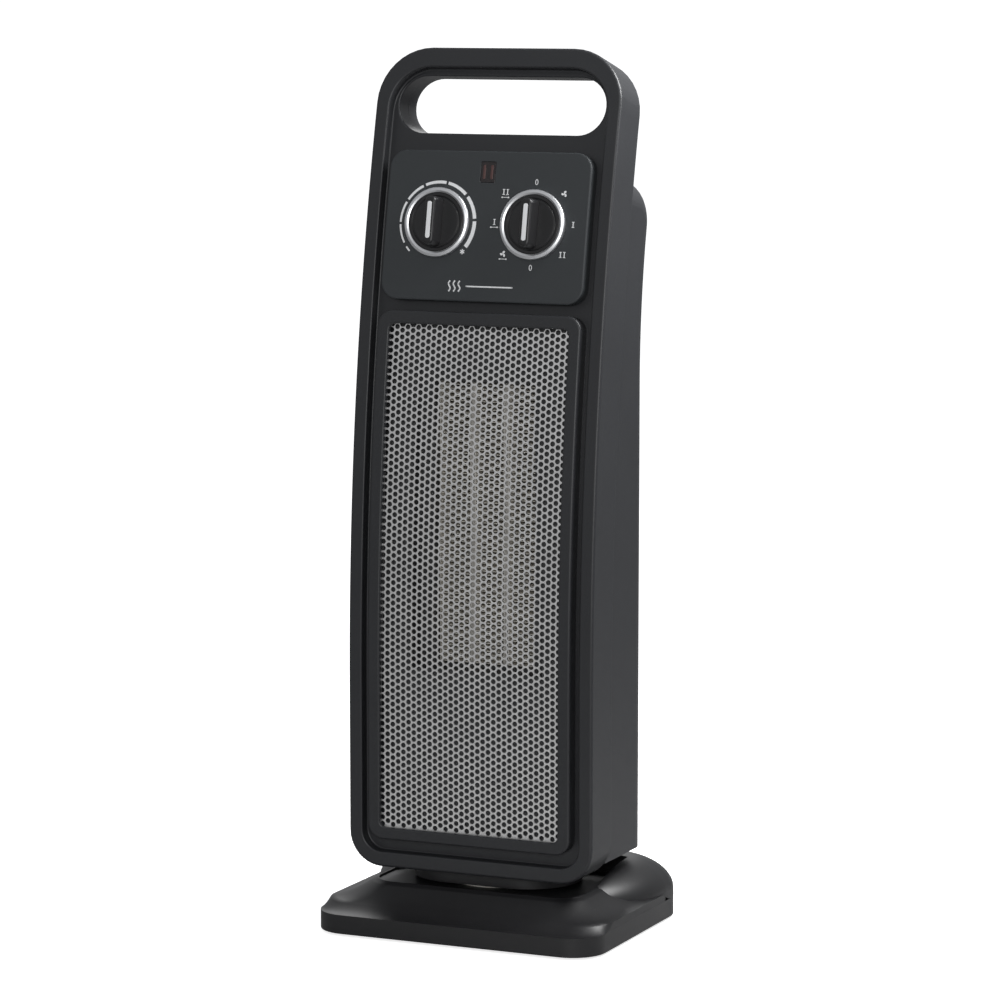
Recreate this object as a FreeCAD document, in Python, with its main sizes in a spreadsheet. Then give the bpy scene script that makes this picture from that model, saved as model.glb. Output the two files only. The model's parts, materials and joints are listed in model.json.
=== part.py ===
import FreeCAD, Part
import Sketcher
import math
import os
from types import SimpleNamespace

# Ceramic tower heater on an oscillating foot.
# Millimetres, +Z up, the feet stand on z = 0, the front faces -Y, and the tower turns about the Z axis.

DIMENSIONS = [
    # the curved face of the tower: plumb below the bend, then an arc that leans back
    ("face_front", -40.65, "Y of the plumb part of the face"),
    ("face_radius", 1410.6, "radius of the leaning part"),
    ("face_bend", 141.3, "height where the face starts to lean"),
    ("shell_low", 36.0, "underside of the tower"),
    ("shell_high", 501.5, "top edge of the tower's face"),
    ("shell_half", 75.4, "half width of the front shell"),
    ("shell_depth", 28.5, "depth of the front shell, square to the face"),
    ("shell_wall", 2.2, "moulded wall"),
    ("shell_round_top", 32.0, "outer corner radius at the top"),
    ("shell_round_low", 20.0, "outer corner radius at the bottom"),
    ("rim_half", 67.2, "half width inside the raised rim"),
    ("rim_high", 490.5, "inner top edge of the rim"),
    ("rim_low", 44.8, "inner bottom edge of the rim"),
    ("rim_round_top", 24.0, "inner corner radius of the rim at the top"),
    ("rim_round_low", 12.0, "inner corner radius of the rim at the bottom"),
    ("floor_front", 6.3, "depth of the sunk floor behind the rim"),
    ("floor_back", 8.8, "depth of the floor's back face"),
    ("lip_depth", 18.0, "depth where the rear cover starts"),
    # hand opening
    ("hand_centre", 469.8, "height of the hand opening's centre"),
    ("hand_half", 63.5, "half width of the hand opening"),
    ("hand_tall", 33.0, "height of the hand opening"),
    ("hand_round", 16.3, "end radius of the hand opening"),
    ("hand_wall", 2.4, "collar round the hand opening"),
    ("hand_draw", 6.5, "fall of the hand opening towards the back, degrees"),
    # control panel
    ("panel_centre", 402.05, "height of the panel's centre"),
    ("panel_half", 62.1, "half width of the panel"),
    ("panel_tall", 84.96, "height of the panel along the face"),
    ("panel_round", 10.0, "corner radius of the panel"),
    ("panel_proud", 1.7, "how far the panel stands out of the rim"),
    ("panel_wall", 2.4, "panel thickness"),
    # grille
    ("frame_half", 62.5, "half width of the grille frame"),
    ("frame_low", 52.7, "bottom of the grille frame"),
    ("frame_high", 354.2, "top of the grille frame"),
    ("frame_round", 9.0, "corner radius of the grille frame"),
    ("frame_proud", 2.2, "how far the frame stands out of the rim"),
    ("window_half", 55.2, "half width of the grille window"),
    ("window_low", 59.4, "bottom of the grille window"),
    ("window_high", 346.7, "top of the grille window"),
    ("window_round", 4.0, "corner radius of the grille window"),
    ("sheet_front", 0.6, "depth of the perforated sheet's front face"),
    ("sheet_thick", 0.8, "perforated sheet"),
    ("frame_slip", 0.2, "gap round a part that sits in a pocket"),
    # knobs
    ("knob_height", 403.5, "height of the knob axes"),
    ("knob_side", 29.4, "knob axes from the middle"),
    ("knob_radius", 16.7, "knob disc"),
    ("knob_ring", 19.7, "outer radius of the knob's bright ring"),
    ("knob_gap", 0.3, "gap between knob and panel"),
    ("knob_disc", 2.6, "knob disc thickness"),
    ("ring_tall", 3.0, "height of the bright ring"),
    ("grip_radius", 14.1, "half length of the grip"),
    ("grip_half", 3.9, "half width of the grip"),
    ("grip_tall", 9.7, "height of the grip above the disc"),
    ("spindle_radius", 3.0, "control spindle"),
    ("spindle_slip", 0.05, "running clearance of a spindle"),
    ("control_radius", 14.0, "thermostat body"),
    ("control_half", 15.0, "half side of the selector body"),
    ("control_deep", 20.0, "depth of the control bodies"),
    ("pilot_side", -1.6, "pilot window from the middle"),
    ("pilot_height", 432.0, "height of the pilot window"),
    ("pilot_wide", 10.0, "pilot window width"),
    ("pilot_tall", 12.0, "pilot window height"),
    ("lamp_radius", 3.0, "neon lamp"),
    ("lamp_long", 16.0, "neon lamp length"),
    # rear cover
    ("rear_half", 71.5, "half width of the rear cover"),
    ("rear_low", 43.5, "underside of the rear cover"),
    ("rear_back", 50.5, "Y of the plumb part of the rear wall"),
    ("rear_bend", 311.4, "height where the rear wall starts to lean"),
    ("rear_radius", 403.0, "radius of the leaning part of the rear wall"),
    ("rear_top_front", 17.0, "Y where the rear cover's top meets the front shell"),
    ("rear_top", 432.5, "height there"),
    ("rear_slope", 11.5, "fall of the rear cover's top, degrees"),
    ("rear_shoulder", 25.0, "radius of the rear cover's shoulder"),
    ("rear_edge", 17.0, "radius of the rear cover's side edges"),
    ("slot_low", 157.0, "height of the lowest intake slot"),
    ("slot_pitch", 7.2, "pitch of the intake slots"),
    ("slot_tall", 3.4, "height of an intake slot"),
    ("slot_inner", 4.0, "inner end of an intake slot"),
    ("slot_outer", 50.0, "outer end of an intake slot"),
    # screws
    ("screw_radius", 1.5, "screw shank"),
    ("screw_head", 3.0, "screw head radius"),
    ("screw_head_tall", 2.0, "screw head height"),
    ("boss_radius", 4.0, "screw boss"),
    ("post_radius", 4.5, "screw post of the rear cover"),
    ("post_bore", 3.3, "screw well"),
    ("screw_side_low", 64.0, "lower shell screws from the middle"),
    ("screw_low", 66.0, "height of the lower shell screws"),
    ("screw_side_high", 59.0, "upper shell screws from the middle"),
    ("screw_high", 443.0, "height of the upper shell screws"),
    ("lip_gap", 0.3, "gap between the rear cover's lip and the front shell"),
    ("joint_low", -16.65, "Y where the lower bosses meet the posts"),
    ("well_end", -12.0, "Y of the bottom of the screw wells"),
    # heater
    ("core_half", 31.0, "half width of the heating core"),
    ("core_low", 153.0, "bottom of the heating core"),
    ("core_high", 314.5, "top of the heating core"),
    ("core_front", -12.0, "Y of the core's front"),
    ("core_back", 2.0, "Y of the core's back"),
    ("bar_side", 10.35, "ceramic bars from the middle"),
    ("bar_thick", 2.5, "ceramic bar thickness"),
    ("fin_thick", 0.35, "fin strip thickness"),
    ("fin_pitch", 2.3, "rise of one fin fold"),
    ("fin_edge", 0.4, "edge strip beside the fins"),
    ("holder_half", 37.0, "half width of the core holder"),
    ("holder_low", 145.0, "bottom of the core holder"),
    ("holder_high", 322.5, "top of the core holder"),
    ("holder_front", -17.0, "Y of the holder's front"),
    ("holder_back", 6.0, "Y of the holder's back"),
    ("duct_half", 41.0, "half width of the air mouth behind the grille"),
    ("duct_low", 150.0, "bottom of the air mouth"),
    ("duct_high", 333.0, "top of the air mouth"),
    ("duct_wall", 1.5, "air duct wall"),
    ("flange_half", 58.5, "half width of the duct flange"),
    ("flange_low", 56.5, "bottom of the baffle"),
    ("flange_high", 350.0, "top of the duct flange"),
    # blower
    ("fan_back", 26.5, "Y of the impeller axis"),
    ("fan_radius", 17.0, "impeller"),
    ("fan_low", 155.0, "bottom of the impeller"),
    ("fan_high", 312.0, "top of the impeller"),
    ("fan_disc", 1.2, "impeller disc thickness"),
    ("blade_deep", 4.2, "radial depth of a blade"),
    ("blade_thick", 0.7, "blade thickness"),
    ("scroll_inner", 19.0, "inner radius of the scroll"),
    ("scroll_wall", 1.5, "scroll wall"),
    ("scroll_low", 150.0, "underside of the scroll"),
    ("scroll_high", 317.0, "top of the scroll"),
    ("intake_half", 13.0, "half width of the scroll's intake"),
    ("shaft_radius", 2.0, "fan shaft"),
    ("shaft_low", 94.0, "bottom of the fan shaft"),
    ("shaft_high", 325.0, "top of the fan shaft"),
    ("stack_low", 107.0, "bottom of the motor laminations"),
    ("stack_tall", 16.0, "height of the laminations"),
    ("stack_half", 21.0, "half width of the laminations"),
    ("stack_front", -18.0, "Y of the laminations' front"),
    ("stack_back", 44.5, "Y of the laminations' back"),
    ("rotor_radius", 12.0, "motor rotor"),
    ("air_gap", 0.5, "gap between rotor and laminations"),
    ("coil_leg", 10.0, "depth of the leg inside the coil"),
    ("coil_half", 11.5, "half width of the coil"),
    ("coil_build", 6.0, "winding thickness"),
    ("bracket_gap", 8.0, "pillar height of a motor bracket"),
    ("bracket_thick", 2.0, "motor bracket plate"),
    ("bush_tall", 5.0, "bush height"),
    ("bush_radius", 5.0, "bush radius"),
    # tower floor, neck and hub
    ("neck_half", 50.0, "half width of the neck"),
    ("neck_deep", 31.0, "half depth of the neck"),
    ("neck_low", 28.25, "underside of the neck"),
    ("neck_wall", 3.0, "neck wall"),
    ("plate_low", 45.9, "underside of the tower's floor plate"),
    ("plate_thick", 2.4, "floor plate"),
    ("plate_half", 52.0, "half width of the floor plate"),
    ("plate_back", 34.0, "Y of the floor plate's back edge"),
    ("hub_radius", 11.0, "outer radius of the turning hub"),
    ("hub_bore", 8.5, "wire passage in the hub"),
    ("hub_low", 20.4, "bottom of the hub"),
    ("hub_slip", 0.08, "running clearance of the hub"),
    ("clip_low", 23.1, "underside of the retaining ring"),
    ("clip_thick", 0.6, "retaining ring"),
    ("clip_radius", 22.0, "outer radius of the retaining ring"),
    # foot
    ("fit_gap", 0.2, "gap between plastic parts that fit together"),
    ("seat_gap", 0.1, "gap under a part that sits against another"),
    ("turn_gap", 0.05, "gap between faces that slide while the tower turns"),
    ("pass_gap", 1.0, "gap round a part that passes through a hole"),
    ("root", 0.5, "how far a boss or leg runs into the wall it grows from"),
    ("flange_lap", 1.0, "how far the grille's flange covers the edge of its opening"),
    ("frame_ledge", 2.5, "ledge of the frame that holds the grille sheet"),
    ("head_seat", 4.0, "depth of the upper screws' seats behind the lip"),
    ("scroll_flat", 4.0, "straight start of the fan's scroll"),
    ("stay_wall", 1.0, "wall round the motor's stays and the impeller's rims"),
    ("stay_in", 2.6, "how far in from the stack's side a stay stands"),
    ("stay_deep", 6.0, "how far behind the core holder a stay stands"),
    ("cutout_far", 16.0, "how far in the thermal cutout reaches from the duct's side"),
    ("cutout_tall", 6.0, "height of the thermal cutout, and its gap to the side"),
    ("bracket_leg", 4.0, "width of a motor bracket's leg"),
    ("bore_short", 2.0, "plastic left above a blind bore"),
    ("shank_short", 3.0, "how far the foot's screws end below their bosses"),
    ("bush_reach", 4.0, "how far the cord's bush reaches inside the wall"),
    ("crank_wall", 1.5, "wall of the crank's hub"),
    ("eye_wall", 5.0, "wall round the lever's eye"),
    ("shank_reach", 8.0, "length of the lower shell screws past the joint"),
    ("block_gap", 4.0, "gap round the terminal block"),
    ("base_half", 87.5, "half width of the foot"),
    ("base_deep", 69.0, "half depth of the foot"),
    ("base_round", 20.0, "corner radius of the foot"),
    ("base_low", 1.5, "underside of the skirt"),
    ("skirt_front", 12.5, "top edge of the skirt at the front"),
    ("skirt_side", 17.0, "top edge of the skirt at the sides"),
    ("crest_half", 64.8, "half width of the crest"),
    ("crest_deep", 40.0, "half depth of the crest"),
    ("crest_round", 17.0, "corner radius of the crest"),
    ("crest_high", 27.5, "height of the crest"),
    ("cove_power", 0.6, "how hollow the slope is, 1 being straight"),
    ("base_wall", 3.0, "wall of the foot"),
    ("ceiling", 23.8, "underside of the foot's top"),
    ("tray_inset", 1.5, "rim left round the tray on top of the foot"),
    ("hump_front", 42.0, "Y of the front of the foot's raised back"),
    ("hump_front_low", -35.0, "Y of its front beside the recess, at the skirt"),
    ("hump_rear", 52.0, "Y of the rear of its top"),
    ("hump_half", 55.0, "half width of its top"),
    ("hump_high", 36.5, "height of the foot's raised back"),
    ("hump_nose", 4.0, "radius of the raised back's front corners at its top"),
    ("hump_nose_low", 75.0, "radius of those corners at its bottom"),
    ("hump_tail", 5.5, "radius of the raised back's rear corners at its top"),
    ("hump_tail_low", 16.5, "radius of those corners at its bottom"),
    ("tray_floor", 26.3, "floor of the tray on top of the foot"),
    ("glide_radius", 26.0, "outer radius of the glide ring"),
    ("bottom_low", 2.5, "underside of the bottom plate"),
    ("bottom_high", 5.0, "top of the bottom plate"),
    ("pad_side", 70.0, "rubber feet from the middle, sideways"),
    ("pad_deep", 51.0, "rubber feet from the middle, fore and aft"),
    ("pad_radius", 8.0, "rubber foot"),
    ("fix_side", 48.0, "bottom screws from the middle, sideways"),
    ("fix_deep", 50.0, "bottom screws from the middle, fore and aft"),
    ("fix_high", 16.0, "top of the bottom screw bosses"),
    # oscillation drive and tip switch
    ("drive_side", -32.0, "X of the drive motor axis"),
    ("drive_radius", 20.0, "drive motor can"),
    ("drive_high", 16.0, "top of the drive motor"),
    ("crank_throw", 18.35, "crank pin from the drive axis"),
    ("crank_low", 17.0, "underside of the crank arm"),
    ("crank_high", 19.6, "top of the crank arm"),
    ("crank_half", 4.5, "half width of the crank arm"),
    ("roller_radius", 2.5, "crank roller"),
    ("roller_high", 22.95, "top of the crank roller"),
    ("lever_thick", 2.5, "slotted lever"),
    ("lever_reach", 56.0, "end of the slotted lever from the hub axis"),
    ("lever_half", 6.5, "half width of the slotted lever"),
    ("lever_slot", 3.7, "half width of the slot"),
    ("lever_slot_in", 33.4, "inner end of the slot from the hub axis"),
    ("lever_slot_out", 53.6, "outer end of the slot from the hub axis"),
    ("tip_side", 40.0, "X of the tip-over switch"),
    ("tip_deep", -12.0, "Y of the tip-over switch"),
    ("tip_wide", 20.0, "tip-over switch body, sideways"),
    ("tip_long", 13.0, "tip-over switch body, fore and aft"),
    ("tip_high", 18.5, "top of the tip-over switch"),
    ("plunger_radius", 3.0, "tip-over plunger"),
    ("plunger_high", 12.0, "top of the plunger at rest"),
    ("inlet_side", 45.0, "X of the cord inlet"),
    ("inlet_height", 7.3, "height of the cord inlet"),
    ("inlet_radius", 4.5, "cord inlet bush"),
    ("inlet_bore", 3.2, "bore of the cord inlet bush"),
    ("block_wide", 26.0, "terminal block length"),
    ("block_deep", 12.0, "terminal block depth"),
    ("block_tall", 13.0, "terminal block height"),
]

BLADES = 22
FAN_DISCS = 4
SLOT_ROWS = 22
COVE_STEPS = 7
OVERCUT = 1.0  # how far a cutting form runs past the face that it opens
GAP_CUT = 5.0  # half height of the forms that open a thin wall
EASED = 1.0  # radius left on the corners of plain openings
BLADE_INSET = 0.3  # how far the blades stay inside the impeller's rim
HUMP_STEPS = 7
FAR = 700.0
REACH = 160.0
LIFT = 40.0

doc = FreeCAD.newDocument("TowerHeater")
sheet = doc.addObject("Spreadsheet::Sheet", "dim")


class Size:
    """A number together with the expression that works it out from the sheet."""

    def __init__(self, value, text):
        self.value = value
        self.text = text

    def joined(self, other, sign, value):
        return Size(value, f"({self.text} {sign} {other.text})")

    def __add__(self, other):
        other = as_size(other)
        return self.joined(other, "+", self.value + other.value)

    def __sub__(self, other):
        other = as_size(other)
        return self.joined(other, "-", self.value - other.value)

    def __mul__(self, other):
        other = as_size(other)
        return self.joined(other, "*", self.value * other.value)

    def __truediv__(self, other):
        other = as_size(other)
        return self.joined(other, "/", self.value / other.value)

    def __radd__(self, other):
        return as_size(other) + self

    def __rsub__(self, other):
        return as_size(other) - self

    def __rmul__(self, other):
        return as_size(other) * self

    def __neg__(self):
        return Size(-self.value, f"(0 - {self.text})")


def as_size(number):
    if isinstance(number, Size):
        return number
    return Size(float(number), repr(float(number)))


def fill_sheet():
    """Write the driving dimensions into the sheet and hand them back by name."""
    names = SimpleNamespace()
    for row, (alias, value, meaning) in enumerate(DIMENSIONS, start=1):
        sheet.set(f"A{row}", meaning)
        sheet.set(f"B{row}", str(value))
        sheet.setAlias(f"B{row}", alias)
        setattr(names, alias, Size(value, f"dim.{alias}"))
    return names


dim = fill_sheet()
doc.recompute()

parts = {}


def finish(name, item):
    """Keep an object as a finished sub-part under its own label."""
    item.Label = name
    parts[name] = item
    return item


def bind(item, **sizes):
    for prop, size in sizes.items():
        item.setExpression(prop, as_size(size).text)


def place(item, x=0, y=0, z=0):
    for axis, size in zip("xyz", (x, y, z)):
        item.setExpression(f"Placement.Base.{axis}", as_size(size).text)


# ---------------------------------------------------------------- primitives and booleans

def box(name, x, y, z):
    """A block between two limits on each axis."""
    item = doc.addObject("Part::Box", name)
    bind(item, Length=x[1] - x[0], Width=y[1] - y[0], Height=z[1] - z[0])
    place(item, x[0], y[0], z[0])
    return item


def post(name, radius, z, x=0, y=0):
    """An upright cylinder between two heights."""
    item = doc.addObject("Part::Cylinder", name)
    bind(item, Radius=radius, Height=z[1] - z[0])
    place(item, x, y, z[0])
    return item


def rod(name, radius, y, x, z):
    """A cylinder along Y between two depths."""
    item = doc.addObject("Part::Cylinder", name)
    bind(item, Radius=radius, Height=y[1] - y[0])
    item.Placement = FreeCAD.Placement(FreeCAD.Vector(), FreeCAD.Rotation(FreeCAD.Vector(1, 0, 0), -90))
    place(item, x, y[0], z)
    return item


def fuse(name, items):
    item = doc.addObject("Part::MultiFuse", name)
    item.Shapes = items
    item.Refine = True
    return item


def common(name, items):
    item = doc.addObject("Part::MultiCommon", name)
    item.Shapes = items
    return item


def cut(name, base, tools):
    item = doc.addObject("Part::Cut", name)
    item.Base = base
    item.Tool = tools[0] if len(tools) == 1 else fuse(f"{name}_tools", tools)
    item.Refine = True
    return item


# ---------------------------------------------------------------- the leaning face

def face_tilt(height):
    """Lean of the face at a height, in degrees, as value and expression."""
    ratio = (height - dim.face_bend) / dim.face_radius
    return Size(math.degrees(math.asin(ratio.value)), f"asin({ratio.text})")


def stand_on_face(item, height, side=0, lean=None):
    """Give an object the face's own frame: local Z points out of the face, local Y up along it.

    A lean of its own turns it away from square to the face.
    """
    tilt = face_tilt(height)
    lean = lean or tilt
    item.Placement = FreeCAD.Placement(
        FreeCAD.Vector(), FreeCAD.Rotation(FreeCAD.Vector(1, 0, 0), 90 - lean.value))
    item.setExpression("Placement.Rotation.Angle", f"90 deg - {lean.text}")
    rise = f"dim.face_radius - dim.face_radius * cos({tilt.text})"
    item.setExpression("Placement.Base.x", as_size(side).text)
    item.setExpression("Placement.Base.y", f"dim.face_front + {rise}")
    item.setExpression("Placement.Base.z", as_size(height).text)
    return item


def named(sketch, name, constraint, size):
    """Add a dimension to a sketch and bind it to the sheet."""
    index = sketch.addConstraint(constraint)
    sketch.renameConstraint(index, name)
    sketch.setExpression(f"Constraints.{name}", as_size(size).text)


def line(start, end):
    return Part.LineSegment(FreeCAD.Vector(*start, 0), FreeCAD.Vector(*end, 0))


def arc(centre, radius, start, end):
    circle = Part.Circle(FreeCAD.Vector(*centre, 0), FreeCAD.Vector(0, 0, 1), radius)
    return Part.ArcOfCircle(circle, math.radians(start), math.radians(end))


def rounded_sketch(name, half, low, high, round_low, round_high):
    """A rounded rectangle, centred sideways, with its own radius at the low and high corners."""
    sketch = doc.addObject("Sketcher::SketchObject", name)
    w, b, t = as_size(half).value, as_size(low).value, as_size(high).value
    p, q = as_size(round_low).value, as_size(round_high).value
    sketch.addGeometry([
        line((-w + p, b), (w - p, b)), arc((w - p, b + p), p, -90, 0),
        line((w, b + p), (w, t - q)), arc((w - q, t - q), q, 0, 90),
        line((w - q, t), (-w + q, t)), arc((-w + q, t - q), q, 90, 180),
        line((-w, t - q), (-w, b + p)), arc((-w + p, b + p), p, 180, 270),
    ], False)
    for index in range(8):
        sketch.addConstraint(Sketcher.Constraint("Tangent", index, 2, (index + 1) % 8, 1))
    for index in (0, 4):
        sketch.addConstraint(Sketcher.Constraint("Horizontal", index))
    for index in (2, 6):
        sketch.addConstraint(Sketcher.Constraint("Vertical", index))
    sketch.addConstraint(Sketcher.Constraint("Equal", 1, 7))
    sketch.addConstraint(Sketcher.Constraint("Equal", 3, 5))
    named(sketch, "round_low", Sketcher.Constraint("Radius", 1, p), round_low)
    named(sketch, "round_high", Sketcher.Constraint("Radius", 3, q), round_high)
    named(sketch, "right", Sketcher.Constraint("DistanceX", -1, 1, 2, 1, w), half)
    named(sketch, "left", Sketcher.Constraint("DistanceX", -1, 1, 6, 1, -w), -as_size(half))
    named(sketch, "low", Sketcher.Constraint("DistanceY", -1, 1, 0, 1, b), low)
    named(sketch, "high", Sketcher.Constraint("DistanceY", -1, 1, 4, 1, t), high)
    return sketch


def polygon_sketch(name, points):
    """A closed outline of straight lines through points given as pairs of sizes."""
    sketch = doc.addObject("Sketcher::SketchObject", name)
    count = len(points)
    places = [(as_size(x).value, as_size(y).value) for x, y in points]
    sketch.addGeometry([line(places[i], places[(i + 1) % count]) for i in range(count)], False)
    for index in range(count):
        sketch.addConstraint(Sketcher.Constraint("Coincident", index, 2, (index + 1) % count, 1))
    for index, (x, y) in enumerate(points):
        across = Sketcher.Constraint("DistanceX", -1, 1, index, 1, places[index][0])
        upward = Sketcher.Constraint("DistanceY", -1, 1, index, 1, places[index][1])
        named(sketch, f"across_{index}", across, x)
        named(sketch, f"upward_{index}", upward, y)
    return sketch


def turn_to_side(sketch):
    """Stand a sketch on the YZ plane: its x runs along Y and its y along Z."""
    sketch.Placement = FreeCAD.Placement(
        FreeCAD.Vector(), FreeCAD.Rotation(FreeCAD.Vector(1, 1, 1), 120))
    return sketch


def extrude(name, sketch, length, both_ways=False):
    item = doc.addObject("Part::Extrusion", name)
    item.Base = sketch
    item.DirMode = "Normal"
    item.Solid = True
    item.Symmetric = both_ways
    bind(item, LengthFwd=length)
    return item


def prism_on_face(name, height, half, low, high, round_low, round_high, side=0, lean=None):
    """A rounded block through the face, reaching well past it both ways."""
    sketch = rounded_sketch(f"{name}_outline", half, low, high, round_low, round_high)
    stand_on_face(sketch, height, side, lean)
    return extrude(name, sketch, 2 * REACH, both_ways=True)


def face_band(name, front, back):
    """A full-height band of the tower between two depths behind the face, as wide as the shell."""
    front, back = as_size(front), as_size(back)
    centre = dim.face_front + dim.face_radius
    reach = (dim.shell_high - dim.face_bend) / dim.face_radius
    outer, inner = dim.face_radius - front, dim.face_radius - back
    lean = face_tilt(dim.shell_high).value
    bend, low = dim.face_bend.value, dim.shell_low.value
    hub = (centre.value, bend)
    tops = []
    for radius in (outer.value, inner.value):
        angle = math.radians(180 - lean)
        tops.append((hub[0] + radius * math.cos(angle), hub[1] + radius * math.sin(angle)))
    near, far = hub[0] - outer.value, hub[0] - inner.value
    sketch = turn_to_side(doc.addObject("Sketcher::SketchObject", f"{name}_profile"))
    sketch.addGeometry([
        line((near, low), (near, bend)), arc(hub, outer.value, 180 - lean, 180),
        line(tops[0], tops[1]), arc(hub, inner.value, 180 - lean, 180),
        line((far, bend), (far, low)), line((far, low), (near, low)),
    ], False)
    for constraint in (
            Sketcher.Constraint("Tangent", 0, 2, 1, 2), Sketcher.Constraint("Coincident", 1, 1, 2, 1),
            Sketcher.Constraint("Coincident", 2, 2, 3, 1), Sketcher.Constraint("Tangent", 3, 2, 4, 1),
            Sketcher.Constraint("Coincident", 4, 2, 5, 1), Sketcher.Constraint("Coincident", 5, 2, 0, 1),
            Sketcher.Constraint("Vertical", 0), Sketcher.Constraint("Horizontal", 5),
            Sketcher.Constraint("Coincident", 1, 3, 3, 3), Sketcher.Constraint("PointOnObject", 1, 3, 2)):
        sketch.addConstraint(constraint)
    named(sketch, "outer", Sketcher.Constraint("Radius", 1, outer.value), outer)
    named(sketch, "inner", Sketcher.Constraint("Radius", 3, inner.value), inner)
    named(sketch, "front", Sketcher.Constraint("DistanceX", -1, 1, 0, 1, near), dim.face_front + front)
    named(sketch, "low", Sketcher.Constraint("DistanceY", -1, 1, 0, 1, low), dim.shell_low)
    named(sketch, "bend", Sketcher.Constraint("DistanceY", -1, 1, 1, 3, bend), dim.face_bend)
    named(sketch, "high", Sketcher.Constraint("DistanceY", -1, 1, 1, 1, tops[0][1]),
          dim.face_bend + outer * reach)
    return extrude(name, sketch, 2 * dim.shell_half, both_ways=True)


def shell_outline(name, inset):
    """Two prisms that together round the tower's outline, drawn in by an inset."""
    top = prism_on_face(f"{name}_top", dim.shell_high, dim.shell_half - inset, -FAR, -as_size(inset),
                        dim.shell_round_low, dim.shell_round_top - inset)
    low = prism_on_face(f"{name}_low", dim.face_bend, dim.shell_half - inset,
                        dim.shell_low - dim.face_bend + inset, FAR,
                        dim.shell_round_low - inset, dim.shell_round_top)
    return [top, low]


def hand_prism(name, wall):
    """The hand opening as a block that falls towards the back, grown by a wall."""
    rise = dim.hand_tall / 2 + wall
    lean = Size(dim.hand_draw.value, "(dim.hand_draw * 1 deg)")
    return prism_on_face(name, dim.hand_centre, dim.hand_half + wall, -rise, rise,
                         dim.hand_round + wall, dim.hand_round + wall, 0, lean)


def neck_prism(name, low, high, inset):
    """The oval neck between two heights, drawn in by an inset."""
    deep = dim.neck_deep - inset
    corner = deep - dim.seat_gap
    sketch = rounded_sketch(f"{name}_outline", dim.neck_half - inset, -deep, deep, corner, corner)
    place(sketch, 0, 0, low)
    return extrude(name, sketch, high - low)


# ---------------------------------------------------------------- tower shells

def make_front_shell():
    outer = common("front_outer", [face_band("front_band", 0, dim.shell_depth)]
                   + shell_outline("front_outline", 0))
    recess = common("front_recess", [
        face_band("recess_band", -LIFT / 4, dim.floor_front),
        prism_on_face("recess_top", dim.rim_high, dim.rim_half, -FAR, 0,
                      dim.rim_round_top, dim.rim_round_top),
        prism_on_face("recess_low", dim.face_bend, dim.rim_half, dim.rim_low - dim.face_bend, FAR,
                      dim.rim_round_low, dim.rim_round_low)])
    cavity = common("front_cavity", [face_band("cavity_band", dim.floor_back, dim.shell_depth + LIFT)]
                    + shell_outline("cavity_outline", dim.shell_wall))
    collar = common("hand_collar", [face_band("collar_band", dim.floor_front, dim.lip_depth),
                                    hand_prism("collar_prism", dim.hand_wall)])
    bosses = []
    for side in (-1, 1):
        low_boss = rod(f"low_boss_{side + 1}", dim.boss_radius, (dim.face_front + dim.floor_back - dim.root,
                       dim.joint_low), side * dim.screw_side_low, dim.screw_low)
        high_boss = post(f"high_boss_{side + 1}", dim.boss_radius,
                         (-dim.lip_depth, dim.root - dim.floor_back))
        high_boss = common(f"high_boss_seat_{side + 1}", [high_boss])
        stand_on_face(high_boss, dim.screw_high, side * dim.screw_side_high)
        bosses += [low_boss, high_boss]
    shell = fuse("front_shell_walls", [cut("front_tub", outer, [recess, cavity]), collar] + bosses)
    openings = [
        hand_prism("hand_opening", 0),
        prism_on_face("grille_opening", dim.face_bend, dim.flange_half - dim.flange_lap,
                      dim.window_low - dim.face_bend - dim.flange_lap,
                      dim.window_high - dim.face_bend + dim.flange_lap,
                      dim.window_round, dim.window_round),
        prism_on_face("lamp_opening", dim.pilot_height, dim.lamp_radius + dim.pass_gap,
                      -dim.lamp_radius - dim.pass_gap,
                      dim.lamp_radius + dim.pass_gap, EASED, EASED, dim.pilot_side),
        neck_prism("front_neck_gap", dim.shell_low - GAP_CUT, dim.shell_low + GAP_CUT, -dim.fit_gap),
    ]
    for side in (-1, 1):
        hole = common(f"spindle_hole_{side + 1}", [post(f"spindle_bore_{side + 1}",
                      dim.spindle_radius + 2 * dim.pass_gap, (-LIFT / 2, LIFT / 4))])
        stand_on_face(hole, dim.knob_height, side * dim.knob_side)
        low_hole = rod(f"low_hole_{side + 1}", dim.screw_radius, (dim.face_front + dim.floor_back + OVERCUT,
                       dim.joint_low + OVERCUT), side * dim.screw_side_low, dim.screw_low)
        high_hole = common(f"high_hole_{side + 1}", [post(f"high_bore_{side + 1}", dim.screw_radius,
                           (-dim.lip_depth - OVERCUT, OVERCUT - dim.floor_back))])
        stand_on_face(high_hole, dim.screw_high, side * dim.screw_side_high)
        openings += [hole, low_hole, high_hole]
    finish("front_shell", cut("front_shell", shell, openings))


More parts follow.
